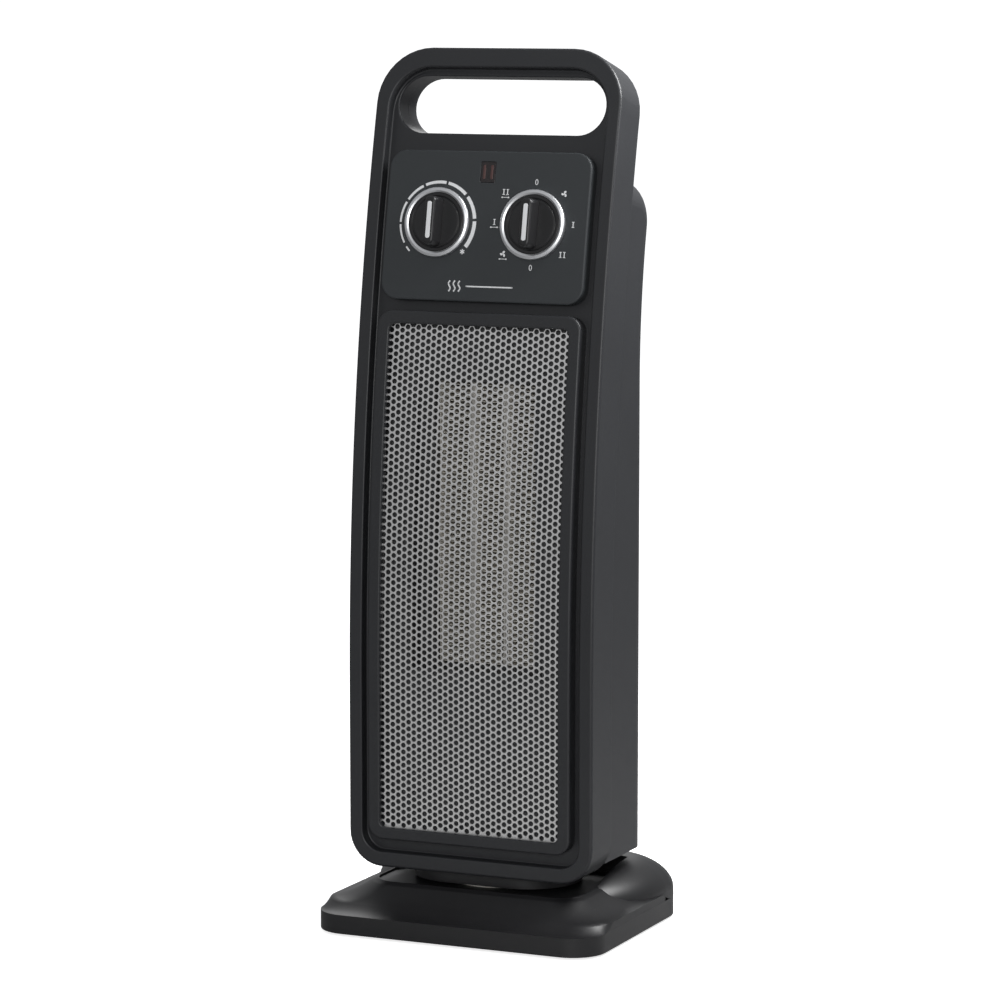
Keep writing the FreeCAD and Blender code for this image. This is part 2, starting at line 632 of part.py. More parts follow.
def rear_profile(name, wall):
    """Side outline of the rear cover, drawn in by a wall, running forward past the front shell."""
    shoulder = (dim.rear_shoulder - wall).value
    back, low = (dim.rear_back - wall).value, (dim.rear_low + wall).value
    bend, sweep = dim.rear_bend.value, (dim.rear_radius + wall).value
    slope = math.radians(dim.rear_slope.value)
    up = (math.sin(slope), math.cos(slope))
    hub = (dim.rear_back.value + dim.rear_radius.value, bend)
    # the shoulder's centre lies on a circle about the hub and a fixed depth below the top
    start = (dim.rear_top_front.value, dim.rear_top.value)
    reach = dim.rear_radius.value + dim.rear_shoulder.value
    drop = (hub[0] - start[0]) * up[0] + (hub[1] - start[1]) * up[1] + dim.rear_shoulder.value
    lean = math.degrees(slope + math.asin(-drop / reach))
    middle = (hub[0] - reach * math.cos(math.radians(lean)), hub[1] + reach * math.sin(math.radians(lean)))
    crown = (middle[0] + shoulder * up[0], middle[1] + shoulder * up[1])
    run = (crown[0] + LIFT * 2) / up[1]
    front = (crown[0] - run * up[1], crown[1] + run * up[0])
    sketch = turn_to_side(doc.addObject("Sketcher::SketchObject", name))
    sketch.addGeometry([
        line((front[0], low), (back, low)), line((back, low), (back, bend)),
        arc(hub, sweep, 180 - lean, 180),
        arc(middle, shoulder, -lean, 90 - math.degrees(slope)),
        line(crown, front), line(front, (front[0], low)),
    ], False)
    for constraint in (
            Sketcher.Constraint("Coincident", 0, 2, 1, 1), Sketcher.Constraint("Coincident", 1, 2, 2, 2),
            Sketcher.Constraint("Coincident", 2, 1, 3, 1), Sketcher.Constraint("Coincident", 3, 2, 4, 1),
            Sketcher.Constraint("Coincident", 4, 2, 5, 1), Sketcher.Constraint("Coincident", 5, 2, 0, 1),
            Sketcher.Constraint("Horizontal", 0), Sketcher.Constraint("Vertical", 1),
            Sketcher.Constraint("Vertical", 5)):
        sketch.addConstraint(constraint)
    named(sketch, "sweep", Sketcher.Constraint("Radius", 2, sweep), dim.rear_radius + wall)
    named(sketch, "shoulder", Sketcher.Constraint("Radius", 3, shoulder), dim.rear_shoulder - wall)
    named(sketch, "back", Sketcher.Constraint("DistanceX", -1, 1, 1, 1, back), dim.rear_back - wall)
    named(sketch, "low", Sketcher.Constraint("DistanceY", -1, 1, 0, 1, low), dim.rear_low + wall)
    return sketch


def rear_block(name, wall):
    """The rear cover's outer form, drawn in by a wall, with its side edges rounded above the underside."""
    half = dim.rear_half - wall
    block = extrude(f"{name}_block", rear_profile(f"{name}_profile", wall), 2 * half, both_ways=True)
    doc.recompute()
    front, low = block.Shape.BoundBox.YMin, block.Shape.BoundBox.ZMin
    chosen = []
    for index, edge in enumerate(block.Shape.Edges, start=1):
        box_of_edge = edge.BoundBox
        on_side = box_of_edge.XLength < 0.01
        if on_side and box_of_edge.YMax > front + OVERCUT and box_of_edge.ZMax > low + OVERCUT:
            chosen.append(index)
    radius = (dim.rear_edge - wall).value
    rounded = doc.addObject("Part::Fillet", name)
    rounded.Base = block
    rounded.Edges = [(index, radius, radius) for index in chosen]
    return rounded


def make_rear_shell():
    band = face_band("rear_band", dim.lip_depth, dim.shell_depth + 3 * LIFT)
    outer = rear_block("rear_outer", 0)
    tub = cut("rear_tub", outer, [rear_block("rear_inner", dim.shell_wall)])
    tub = common("rear_cover", [tub, band])
    hand_plate = common("hand_plate", [
        face_band("hand_plate_band", dim.lip_depth, dim.shell_depth),
        prism_on_face("hand_plate_top", dim.shell_high, dim.rear_half, -FAR, -(dim.shell_wall + dim.lip_gap),
                      dim.shell_round_low, dim.shell_round_top - dim.shell_wall),
        prism_on_face("hand_plate_low", dim.rear_top, dim.rear_half, -dim.head_seat, FAR, EASED, EASED)])
    overlap = face_band("relief_band", 0, dim.shell_depth)
    inside = common("relief_outline", shell_outline("relief", dim.shell_wall + dim.lip_gap))
    posts = []
    openings = [hand_prism("rear_hand_opening", 0), cut("corner_relief", overlap, [inside]),
                neck_prism("rear_neck_gap", dim.rear_low - GAP_CUT, dim.rear_low + GAP_CUT, -dim.fit_gap)]
    for side in (-1, 1):
        across = side * dim.screw_side_low
        full_post = rod(f"full_post_{side + 1}", dim.post_radius,
                        (dim.joint_low, dim.rear_back), across, dim.screw_low)
        posts.append(common(f"rear_post_{side + 1}", [full_post, outer]))
        openings.append(rod(f"rear_well_{side + 1}", dim.post_bore,
                            (dim.well_end, dim.rear_back + GAP_CUT), across, dim.screw_low))
        openings.append(rod(f"rear_clear_{side + 1}", dim.screw_radius + dim.fit_gap,
                            (dim.joint_low - OVERCUT, dim.well_end + OVERCUT), across, dim.screw_low))
        clear = common(f"hand_clear_{side + 1}", [post(f"hand_clear_bore_{side + 1}",
                       dim.screw_radius + dim.fit_gap, (-LIFT, 0))])
        well = common(f"hand_well_{side + 1}", [post(f"hand_well_bore_{side + 1}", dim.post_bore,
                      (-LIFT, -dim.lip_depth - dim.head_seat))])
        for hole in (clear, well):
            openings.append(stand_on_face(hole, dim.screw_high, side * dim.screw_side_high))
    for row in range(SLOT_ROWS):
        low = dim.slot_low + row * dim.slot_pitch
        for side in (-1, 1):
            limits = (dim.slot_inner, dim.slot_outer) if side > 0 else (-dim.slot_outer, -dim.slot_inner)
            openings.append(box(f"slot_{row}_{side + 1}", limits,
                                (dim.rear_back - dim.shell_wall - 2 * OVERCUT, dim.rear_back + 2 * OVERCUT),
                                (low, low + dim.slot_tall)))
    finish("rear_shell", cut("rear_shell", fuse("rear_walls", [tub, hand_plate] + posts), openings))


def make_tower_floor():
    plate = box("floor_plate", (-dim.plate_half, dim.plate_half), (-dim.neck_deep, dim.plate_back),
                (dim.plate_low, dim.plate_low + dim.plate_thick))
    neck = neck_prism("neck", dim.neck_low, dim.plate_low, 0)
    hollow = neck_prism("neck_hollow", dim.neck_low + dim.neck_wall, dim.plate_low + LIFT, dim.neck_wall)
    hub = post("hub", dim.hub_radius, (dim.hub_low, dim.plate_low + dim.plate_thick))
    bore = post("hub_bore", dim.hub_bore, (dim.hub_low - OVERCUT, dim.plate_low + LIFT))
    body = fuse("neck_and_hub", [cut("neck_tub", fuse("neck_block", [plate, neck]), [hollow]), hub])
    finish("tower_floor", cut("tower_floor", body, [bore]))


# ---------------------------------------------------------------- panel, grille and knobs

def make_control_panel():
    rise = dim.panel_tall / 2
    block = common("panel_block", [
        face_band("panel_band", -dim.panel_proud, dim.floor_front),
        prism_on_face("panel_prism", dim.panel_centre, dim.panel_half, -rise, rise,
                      dim.panel_round, dim.panel_round)])
    wall = dim.panel_wall
    hollow = common("panel_hollow", [
        face_band("panel_hollow_band", wall - dim.panel_proud, dim.floor_front + OVERCUT),
        prism_on_face("panel_hollow_prism", dim.panel_centre, dim.panel_half - wall, wall - rise,
                      rise - wall, dim.panel_round - wall, dim.panel_round - wall)])
    openings = [hollow, pilot_prism("pilot_opening", dim.frame_slip)]
    for side in (-1, 1):
        hole = common(f"panel_hole_{side + 1}", [post(f"panel_bore_{side + 1}",
                      dim.spindle_radius + dim.pass_gap, (-LIFT / 4, LIFT / 4))])
        openings.append(stand_on_face(hole, dim.knob_height, side * dim.knob_side))
    finish("control_panel", cut("control_panel", block, openings))


def pilot_prism(name, gap):
    """The pilot window square to the face, grown by a gap."""
    rise = dim.pilot_tall / 2 + gap
    return prism_on_face(name, dim.pilot_height, dim.pilot_wide / 2 + gap, -rise, rise,
                         EASED, EASED, dim.pilot_side)


def make_pilot():
    lens_back = dim.panel_wall - dim.panel_proud
    lens = common("pilot_lens", [face_band("pilot_band", dim.seat_gap - dim.panel_proud, lens_back),
                                 pilot_prism("pilot_prism", 0)])
    finish("pilot_lens", lens)
    lamp = common("pilot_lamp", [post("pilot_tube", dim.lamp_radius, (-lens_back - dim.lamp_long,
                                                                      -lens_back - 0.8))])
    finish("pilot_lamp", stand_on_face(lamp, dim.pilot_height, dim.pilot_side))


def make_grille():
    middle = dim.face_bend
    ring = common("frame_block", [
        face_band("frame_band", -dim.frame_proud, dim.floor_front),
        prism_on_face("frame_prism", middle, dim.frame_half, dim.frame_low - middle,
                      dim.frame_high - middle, dim.frame_round, dim.frame_round)])
    window = prism_on_face("frame_window", middle, dim.window_half, dim.window_low - middle,
                           dim.window_high - middle, dim.window_round, dim.window_round)
    ledge = dim.frame_ledge
    seat = common("sheet_seat", [
        face_band("seat_band", dim.sheet_front, dim.floor_front + OVERCUT),
        prism_on_face("seat_prism", middle, dim.window_half + ledge, dim.window_low - middle - ledge,
                      dim.window_high - middle + ledge, dim.window_round, dim.window_round)])
    finish("grille_frame", cut("grille_frame", ring, [window, seat]))
    sheet_metal = common("front_grille", [
        face_band("sheet_band", dim.sheet_front, dim.sheet_front + dim.sheet_thick),
        prism_on_face("sheet_prism", middle, dim.window_half + ledge, dim.window_low - middle - ledge,
                      dim.window_high - middle + ledge, dim.window_round, dim.window_round)])
    finish("front_grille", sheet_metal)


def make_knob(name, side):
    """A control knob, its bright ring and its spindle, turning square to the panel."""
    low = dim.panel_proud + dim.knob_gap
    top = low + dim.knob_disc
    disc = post(f"{name}_disc", dim.knob_radius, (low, top))
    grip = common(f"{name}_grip", [
        post(f"{name}_grip_round", dim.grip_radius, (low, top + dim.grip_tall)),
        box(f"{name}_grip_bar", (-dim.grip_half, dim.grip_half), (-dim.grip_radius, dim.grip_radius),
            (low, top + dim.grip_tall))])
    bore = post(f"{name}_socket", dim.spindle_radius, (low - OVERCUT, top + dim.grip_tall / 2))
    knob = cut(name, fuse(f"{name}_body", [disc, grip]), [bore])
    finish(name, stand_on_face(knob, dim.knob_height, side))
    ring = cut(f"{name}_ring", post(f"{name}_ring_outer", dim.knob_ring, (low, low + dim.ring_tall)),
               [post(f"{name}_ring_inner", dim.knob_radius, (low - OVERCUT, low + dim.ring_tall + OVERCUT))])
    finish(f"{name}_ring", stand_on_face(ring, dim.knob_height, side))
    spindle = common(f"{name}_spindle", [post(f"{name}_spindle_bar", dim.spindle_radius,
                     (-dim.floor_back - dim.control_deep / 2, top + dim.grip_tall / 2))])
    finish(f"{name}_spindle", stand_on_face(spindle, dim.knob_height, side))


def make_controls():
    front = -dim.floor_back - dim.seat_gap
    back = front - dim.control_deep
    bore = dim.spindle_radius + dim.spindle_slip
    socket = (-dim.floor_back - dim.control_deep / 2 - dim.root, 0)
    can = cut("thermostat_body", post("thermostat_can", dim.control_radius, (back, front)),
              [post("thermostat_bore", bore, socket)])
    finish("thermostat_body", stand_on_face(can, dim.knob_height, -dim.knob_side))
    half = dim.control_half
    block = cut("selector_body", box("selector_block", (-half, half), (-half, half), (back, front)),
                [post("selector_bore", bore, socket)])
    finish("selector_body", stand_on_face(block, dim.knob_height, dim.knob_side))


# ---------------------------------------------------------------- heater

def make_core():
    long = (dim.core_low, dim.core_high)
    deep = (dim.core_front, dim.core_back)
    for index, side in enumerate((-1, 1), start=1):
        middle = side * dim.bar_side
        finish(f"ceramic_bar_{index}", box(f"ceramic_bar_{index}",
               (middle - dim.bar_thick / 2, middle + dim.bar_thick / 2), deep,
               (dim.core_low, dim.core_high)))
    inner = dim.bar_side - dim.bar_thick / 2
    outer = dim.bar_side + dim.bar_thick / 2
    columns = ((-dim.core_half, -outer), (-inner, inner), (outer, dim.core_half))
    for index, limits in enumerate(columns, start=1):
        finish(f"heating_fins_{index}", folded_fins(f"heating_fins_{index}", limits, deep, long))


def folded_fins(name, across, deep, tall):
    """Level fins between two edge strips, open from front to back, as one solid."""
    left, right = across[0].value, across[1].value
    edge, thick = dim.fin_edge.value, dim.fin_thick.value
    low, high, front = tall[0].value, tall[1].value, deep[0].value
    count = int((high - low - thick) / dim.fin_pitch.value)
    step = (high - low - thick) / count

    def rectangle(x_low, x_high, z_low, z_high):
        corner_points = [(x_low, z_low), (x_high, z_low), (x_high, z_high), (x_low, z_high), (x_low, z_low)]
        return Part.makePolygon([FreeCAD.Vector(x, front, z) for x, z in corner_points])

    wires = [rectangle(left, right, low, high)]
    for gap in range(count):
        floor = low + thick + gap * step
        wires.append(rectangle(left + edge, right - edge, floor, floor + step - thick))
    face = Part.makeFace(wires, "Part::FaceMakerBullseye")
    item = doc.addObject("Part::Feature", name)
    item.Shape = face.extrude(FreeCAD.Vector(0, (deep[1] - deep[0]).value, 0))
    return item


def make_holder():
    half, wall = dim.holder_half, dim.duct_wall
    deep = (dim.holder_front, dim.holder_back)
    block = box("holder_block", (-half, half), deep, (dim.holder_low, dim.holder_high))
    mouth = box("holder_mouth", (-dim.core_half, dim.core_half),
                (dim.holder_front - OVERCUT, dim.holder_back + OVERCUT),
                (dim.core_low, dim.core_high))
    finish("heater_holder", cut("heater_holder", block, [mouth]))
    middle = dim.face_bend
    plate = common("duct_flange", [
        face_band("flange_band", dim.floor_back, dim.floor_back + wall),
        prism_on_face("flange_prism", middle, dim.flange_half, dim.duct_low - middle,
                      dim.flange_high - middle, EASED, dim.window_round)])
    reach = (dim.face_front + dim.floor_back + wall / 2, dim.holder_front)
    outer = box("duct_outer", (-dim.duct_half - wall, dim.duct_half + wall), reach,
                (dim.duct_low, dim.duct_high + wall))
    inner = box("duct_inner", (-dim.duct_half, dim.duct_half), (dim.face_front, dim.holder_front - wall),
                (dim.duct_low + wall, dim.duct_high))
    mouth = box("duct_mouth", (-dim.core_half, dim.core_half),
                (dim.holder_front - LIFT / 8, dim.holder_front + OVERCUT),
                (dim.core_low, dim.core_high))
    ahead = face_band("duct_ahead", -LIFT, dim.floor_back)
    finish("air_duct", cut("air_duct", fuse("duct_block", [plate, outer]), [inner, mouth, ahead]))
    finish("baffle_plate", common("baffle_plate", [
        face_band("baffle_band", dim.floor_back, dim.floor_back + wall),
        prism_on_face("baffle_prism", middle, dim.flange_half, dim.flange_low - middle,
                      dim.duct_low - middle, dim.window_round, EASED)]))
    finish("thermal_cutout", box("thermal_cutout",
                                 (dim.duct_half - dim.cutout_far, dim.duct_half - dim.cutout_tall),
                                 (dim.core_front, dim.core_back),
                                 (dim.holder_high, dim.holder_high + dim.cutout_tall)))


# ---------------------------------------------------------------- blower

def ring_post(name, outer, inner, z, y=0):
    return cut(name, post(f"{name}_outer", outer, z, 0, y),
               [post(f"{name}_inner", inner, (z[0] - OVERCUT, z[1] + OVERCUT), 0, y)])


def scroll_outline(name, wall, low, high):
    """The scroll's plan: a funnel from the heater back to the impeller, joined to a round."""
    mouth, throat = dim.core_half + wall, dim.scroll_inner + wall
    front, flat = dim.holder_back, dim.holder_back + dim.scroll_flat
    points = [(-mouth, front), (mouth, front), (mouth, flat), (throat, dim.fan_back),
              (-throat, dim.fan_back), (-mouth, flat)]
    sketch = polygon_sketch(f"{name}_funnel_plan", points)
    place(sketch, 0, 0, low)
    funnel = extrude(f"{name}_funnel", sketch, high - low)
    return fuse(name, [funnel, post(f"{name}_round", throat, (low, high), 0, dim.fan_back)])


def make_scroll():
    wall = dim.scroll_wall
    outer = scroll_outline("scroll_outer", wall, dim.scroll_low, dim.scroll_high)
    hollow = scroll_outline("scroll_hollow", 0, dim.scroll_low + wall, dim.scroll_high - wall)
    intake = box("scroll_intake", (-dim.intake_half, dim.intake_half),
                 (dim.fan_back + dim.fan_radius * 0.5, dim.fan_back + LIFT),
                 (dim.fan_low, dim.fan_high))
    front = box("scroll_front", (-dim.core_half, dim.core_half),
                (dim.holder_back - OVERCUT, dim.holder_back + OVERCUT),
                (dim.scroll_low + wall, dim.scroll_high - wall))
    clear = post("scroll_shaft_gap", dim.shaft_radius + dim.pass_gap,
                 (dim.scroll_low - OVERCUT, dim.scroll_high + OVERCUT),
                 0, dim.fan_back)
    stays = [post(f"motor_stay_{side + 1}", dim.screw_radius + dim.stay_wall,
                  (dim.stack_low + dim.stack_tall, dim.scroll_low + dim.root),
                  side * (dim.stack_half - dim.stay_in), dim.holder_back + dim.stay_deep) for side in (-1, 1)]
    body = cut("scroll_body", outer, [hollow, intake, front, clear])
    finish("fan_scroll", fuse("fan_scroll", [body] + stays))
    low = dim.scroll_high
    finish("top_bearing", ring_post("top_bearing", dim.bush_radius, dim.shaft_radius + dim.spindle_slip,
                                    (low, low + dim.bush_tall + OVERCUT), dim.fan_back))


def make_impeller():
    """A drum of thin blades between discs, with a hub disc at each end."""
    back, radius = dim.fan_back.value, dim.fan_radius.value
    low, high, disc = dim.fan_low.value, dim.fan_high.value, dim.fan_disc.value
    deep, thick = dim.blade_deep.value, dim.blade_thick.value
    axis = FreeCAD.Vector(0, back, low)
    solids = []
    for index in range(BLADES):
        blade = Part.makeBox(thick, deep, high - low,
                             FreeCAD.Vector(-thick / 2, radius - deep - BLADE_INSET, 0))
        blade.rotate(FreeCAD.Vector(0, radius - deep / 2, 0), FreeCAD.Vector(0, 0, 1), 32)
        blade.rotate(FreeCAD.Vector(), FreeCAD.Vector(0, 0, 1), 360 / BLADES * index)
        blade.translate(axis)
        solids.append(blade)
    step = (high - low - disc) / (FAN_DISCS - 1)
    for index in range(FAN_DISCS):
        start = FreeCAD.Vector(0, back, low + index * step)
        plate = Part.makeCylinder(radius, disc, start)
        inner = dim.shaft_radius.value if index in (0, FAN_DISCS - 1) else radius - deep - dim.stay_wall.value
        solids.append(plate.cut(Part.makeCylinder(inner, disc, start)))
    item = doc.addObject("Part::Feature", "impeller")
    item.Shape = solids[0].multiFuse(solids[1:]).removeSplitter()
    finish("impeller", item)
    finish("fan_shaft", post("fan_shaft", dim.shaft_radius, (dim.shaft_low, dim.shaft_high),
                             0, dim.fan_back))
    finish("motor_rotor", ring_post("motor_rotor", dim.rotor_radius, dim.shaft_radius,
                                    (dim.stack_low, dim.stack_low + dim.stack_tall), dim.fan_back))


def make_fan_motor():
    stack = (dim.stack_low, dim.stack_low + dim.stack_tall)
    half, front, leg = dim.stack_half, dim.stack_front, dim.coil_leg
    core = box("stack_block", (-half, half), (front, dim.stack_back), stack)
    window = box("stack_window", (-dim.coil_half - dim.root, dim.coil_half + dim.root),
                 (front + leg, front + leg + dim.coil_build + leg), (stack[0] - OVERCUT, stack[1] + OVERCUT))
    eye = post("stack_eye", dim.rotor_radius + dim.air_gap, (stack[0] - OVERCUT, stack[1] + OVERCUT), 0,
               dim.fan_back)
    finish("motor_stack", cut("motor_stack", core, [window, eye]))
    build = dim.coil_build
    coil = box("coil_block", (-dim.coil_half, dim.coil_half), (front - build, front + leg + build),
               (stack[0] - build, stack[1] + build))
    inside = box("coil_inside", (-dim.coil_half - OVERCUT, dim.coil_half + OVERCUT), (front, front + leg),
                 stack)
    finish("motor_coil", cut("motor_coil", coil, [inside]))
    for name, sign, face in (("bracket_low", -1, stack[0]), ("bracket_high", 1, stack[1])):
        def span(near, far):
            return (face + near, face + far) if sign > 0 else (face - far, face - near)
        gap, thick = dim.bracket_gap, dim.bracket_thick
        pieces = [box(f"{name}_plate", (-half, half),
                      (dim.fan_back - 2 * dim.bracket_leg, dim.fan_back + 2 * dim.bracket_leg),
                      span(gap, gap + thick)),
                  post(f"{name}_bush", dim.bush_radius, span(gap, gap + dim.bush_tall), 0, dim.fan_back)]
        for side in (-1, 1):
            limits = (half - dim.bracket_leg, half) if side > 0 else (-half, dim.bracket_leg - half)
            pieces.append(box(f"{name}_leg_{side + 1}", limits,
                              (dim.fan_back - dim.bracket_leg, dim.fan_back + dim.bracket_leg), span(0, gap)))
        bore = post(f"{name}_bore", dim.shaft_radius + dim.spindle_slip,
                    span(gap - OVERCUT, gap + 2 * dim.bush_tall),
                    0, dim.fan_back)
        finish(f"motor_{name}", cut(f"motor_{name}", fuse(f"{name}_body", pieces), [bore]))


# ---------------------------------------------------------------- foot

def cove_section(name, step, inset, drop):
    """One level of the foot's slope, from the skirt's edge up to the crest."""
    rise = step / COVE_STEPS
    level = dim.skirt_front + (dim.crest_high - dim.skirt_front) * rise
    ahead = rise ** dim.cove_power.value
    side_rise = max(0.0, (level.value - dim.skirt_side.value)
                    / (dim.crest_high.value - dim.skirt_side.value))
    aside = side_rise ** dim.cove_power.value
    half = dim.base_half + (dim.crest_half - dim.base_half) * aside - inset
    deep = dim.base_deep + (dim.crest_deep - dim.base_deep) * ahead - inset
    corner = dim.base_round + (dim.crest_round - dim.base_round) * rise - inset
    sketch = rounded_sketch(f"{name}_{step}", half, -deep, deep, corner, corner)
    place(sketch, 0, 0, level - drop)
    return sketch


def cove_loft(name, inset, drop):
    loft = doc.addObject("Part::Loft", name)
    loft.Sections = [cove_section(name, step, inset, drop) for step in range(COVE_STEPS + 1)]
    loft.Solid = True
    loft.Ruled = True
    return loft


def hump_section(name, step, inset):
    """One level of the foot's raised back, which swells out towards the skirt."""
    turn = math.pi / 2 * max(step, 0) / HUMP_STEPS
    spread = math.cos(turn)
    level = dim.skirt_side + (dim.hump_high - dim.skirt_side) * math.sin(turn)
    if step < 0:
        level = dim.skirt_front
    front = dim.hump_front - (dim.hump_front - dim.hump_front_low) * spread + inset
    half = dim.hump_half + (dim.base_half - dim.hump_half) * spread - inset
    rear = dim.hump_rear + (dim.base_deep - dim.hump_rear) * spread - inset
    nose = dim.hump_nose + (dim.hump_nose_low - dim.hump_nose) * spread - inset
    tail = dim.hump_tail + (dim.hump_tail_low - dim.hump_tail) * spread - inset
    sketch = rounded_sketch(f"{name}_{step + 1}", half, front, rear, nose, tail)
    place(sketch, 0, 0, level - inset)
    return sketch


def hump_loft(name, inset):
    loft = doc.addObject("Part::Loft", name)
    loft.Sections = [hump_section(name, step, inset) for step in range(-1, HUMP_STEPS + 1)]
    loft.Solid = True
    loft.Ruled = True
    return loft


def upright_block(name, half, deep, corner, low, high):
    sketch = rounded_sketch(f"{name}_outline", half, -as_size(deep), deep, corner, corner)
    place(sketch, 0, 0, low)
    return extrude(name, sketch, as_size(high) - low)


def tray_prism(name, grow, low):
    """The recess that the neck turns in, grown by a wall."""
    corner = dim.crest_round - dim.tray_inset + grow
    sketch = rounded_sketch(f"{name}_outline", dim.crest_half - dim.tray_inset + grow,
                            dim.tray_inset - dim.crest_deep - grow, dim.hump_front + grow,
                            corner, dim.hump_nose + grow)
    place(sketch, 0, 0, low)
    return extrude(name, sketch, dim.hump_high - low)


def make_base_shell():
    wall = dim.base_wall
    skirt = upright_block("skirt", dim.base_half, dim.base_deep, dim.base_round, dim.base_low,
                          dim.skirt_front)
    plan = upright_block("foot_plan", dim.base_half, dim.base_deep, dim.base_round, dim.base_low,
                         dim.hump_high)
    hump = common("hump_in_plan", [hump_loft("hump", 0), plan])
    outer = fuse("base_outer", [skirt, cove_loft("cove", 0, 0), hump])
    drop = dim.crest_high - dim.ceiling
    hollow = upright_block("skirt_hollow", dim.base_half - wall, dim.base_deep - wall, dim.base_round - wall,
                           dim.base_low - OVERCUT, dim.skirt_front - drop)
    tray = tray_prism("tray", 0, dim.tray_floor)
    hump_hollow = cut("hump_hollow", hump_loft("hump_inside", wall),
                      [tray_prism("tray_cover", wall, dim.ceiling)])
    inner = fuse("base_inner", [hollow, cove_loft("cove_hollow", wall, drop), hump_hollow])
    hub_hole = post("base_hub_hole", dim.hub_radius + dim.hub_slip, (dim.ceiling - OVERCUT, dim.crest_high))
    shell = cut("base_walls", outer, [inner, tray, hub_hole])
    bosses, bores = [], []
    for index, (across, along) in enumerate(corners(), start=1):
        x, y = across * dim.fix_side, along * dim.fix_deep
        roof = dim.fix_high if along < 0 else dim.hump_high - wall / 2
        bosses.append(post(f"base_boss_{index}", dim.boss_radius, (dim.bottom_high, roof), x, y))
        bores.append(post(f"base_bore_{index}", dim.screw_radius,
                          (dim.bottom_high - OVERCUT, dim.fix_high - dim.bore_short), x, y))
    inlet = rod("base_inlet_hole", dim.inlet_radius, (dim.base_deep - 3 * wall, dim.base_deep + OVERCUT),
                dim.inlet_side, dim.inlet_height)
    finish("base_shell", cut("base_shell", fuse("base_with_bosses", [shell] + bosses), bores + [inlet]))


def corners():
    return [(across, along) for along in (-1, 1) for across in (-1, 1)]


def make_base_fittings():
    slip = dim.base_wall + dim.fit_gap
    plate = upright_block("bottom_block", dim.base_half - slip, dim.base_deep - slip, dim.base_round - slip,
                          dim.bottom_low, dim.bottom_high)
    holes = [post("plunger_gap", dim.plunger_radius + 2 * dim.fit_gap, (0, dim.bottom_high + OVERCUT),
                  dim.tip_side, dim.tip_deep)]
    for index, (across, along) in enumerate(corners(), start=1):
        x, y = across * dim.fix_side, along * dim.fix_deep
        holes.append(post(f"plate_hole_{index}", dim.screw_radius + dim.fit_gap,
                          (0, dim.bottom_high + OVERCUT), x, y))
        screw = fuse(f"base_screw_{index}", [
            post(f"base_shank_{index}", dim.screw_radius, (dim.bottom_low, dim.fix_high - dim.shank_short),
                 x, y),
            post(f"base_head_{index}", dim.screw_head, (dim.bottom_low - 1.2, dim.bottom_low), x, y)])
        finish(f"base_screw_{index}", screw)
        finish(f"foot_pad_{index}", post(f"foot_pad_{index}", dim.pad_radius, (0, dim.bottom_low),
                                         across * dim.pad_side, along * dim.pad_deep))
    holes.append(rod("plate_inlet_notch", dim.inlet_radius,
                     (dim.base_deep - 3 * dim.base_wall, dim.base_deep),
                     dim.inlet_side, dim.inlet_height))
    finish("bottom_plate", cut("bottom_plate", plate, holes))
    bush = rod("inlet_bush", dim.inlet_radius, (dim.base_deep - dim.base_wall - dim.bush_reach,
                                                dim.base_deep - dim.fit_gap),
               dim.inlet_side, dim.inlet_height)
    bore = rod("inlet_bore", dim.inlet_bore, (dim.base_deep - LIFT, dim.base_deep + OVERCUT),
               dim.inlet_side, dim.inlet_height)
    finish("cord_inlet", cut("cord_inlet", bush, [bore]))
    finish("glide_ring", ring_post("glide_ring", dim.glide_radius, dim.hub_radius + dim.hub_slip,
                                   (dim.tray_floor, dim.neck_low - dim.turn_gap)))


def make_drive():
    can = post("drive_can", dim.drive_radius, (dim.bottom_high, dim.drive_high), dim.drive_side)
    finish("drive_motor", common("drive_motor", [can]))
    slot_half = dim.crank_half
    arm = box("crank_bar", (dim.drive_side - dim.crank_throw, dim.drive_side), (-slot_half, slot_half),
              (dim.crank_low, dim.crank_high))
    hub = post("crank_hub", dim.crank_half + dim.crank_wall,
               (dim.drive_high + dim.fit_gap, dim.crank_high), dim.drive_side)
    tip = post("crank_tip", dim.crank_half, (dim.crank_low, dim.crank_high), dim.drive_side - dim.crank_throw)
    finish("crank_arm", fuse("crank_arm", [arm, hub, tip]))
    finish("crank_roller", post("crank_roller", dim.roller_radius, (dim.crank_high, dim.roller_high),
                                dim.drive_side - dim.crank_throw))
    low, high = dim.hub_low, dim.hub_low + dim.lever_thick
    bar = box("lever_bar", (-dim.lever_reach, 0), (-dim.lever_half, dim.lever_half), (low, high))
    eye = post("lever_eye", dim.hub_radius + dim.eye_wall, (low, high))
    bore = post("lever_bore", dim.hub_radius, (low - OVERCUT, high + OVERCUT))
    slot = box("lever_slot_cut", (-dim.lever_slot_out, -dim.lever_slot_in), (-dim.lever_slot, dim.lever_slot),
               (low - OVERCUT, high + OVERCUT))
    finish("drive_lever", cut("drive_lever", fuse("lever_blank", [bar, eye]), [bore, slot]))
    finish("retaining_ring", ring_post("retaining_ring", dim.clip_radius, dim.hub_radius,
                                       (dim.clip_low, dim.clip_low + dim.clip_thick)))


def make_tip_switch():
    wide, long = dim.tip_wide / 2, dim.tip_long / 2
    body = box("tip_block", (dim.tip_side - wide, dim.tip_side + wide),
               (dim.tip_deep - long, dim.tip_deep + long),
               (dim.bottom_high, dim.tip_high))
    guide = post("tip_guide", dim.plunger_radius + dim.seat_gap,
                 (dim.bottom_high - OVERCUT, dim.tip_high - dim.bore_short),
                 dim.tip_side, dim.tip_deep)
    finish("tip_switch", cut("tip_switch", body, [guide]))
    finish("tip_plunger", post("tip_plunger", dim.plunger_radius, (0, dim.plunger_high),
                               dim.tip_side, dim.tip_deep))


# ---------------------------------------------------------------- screws and terminal block

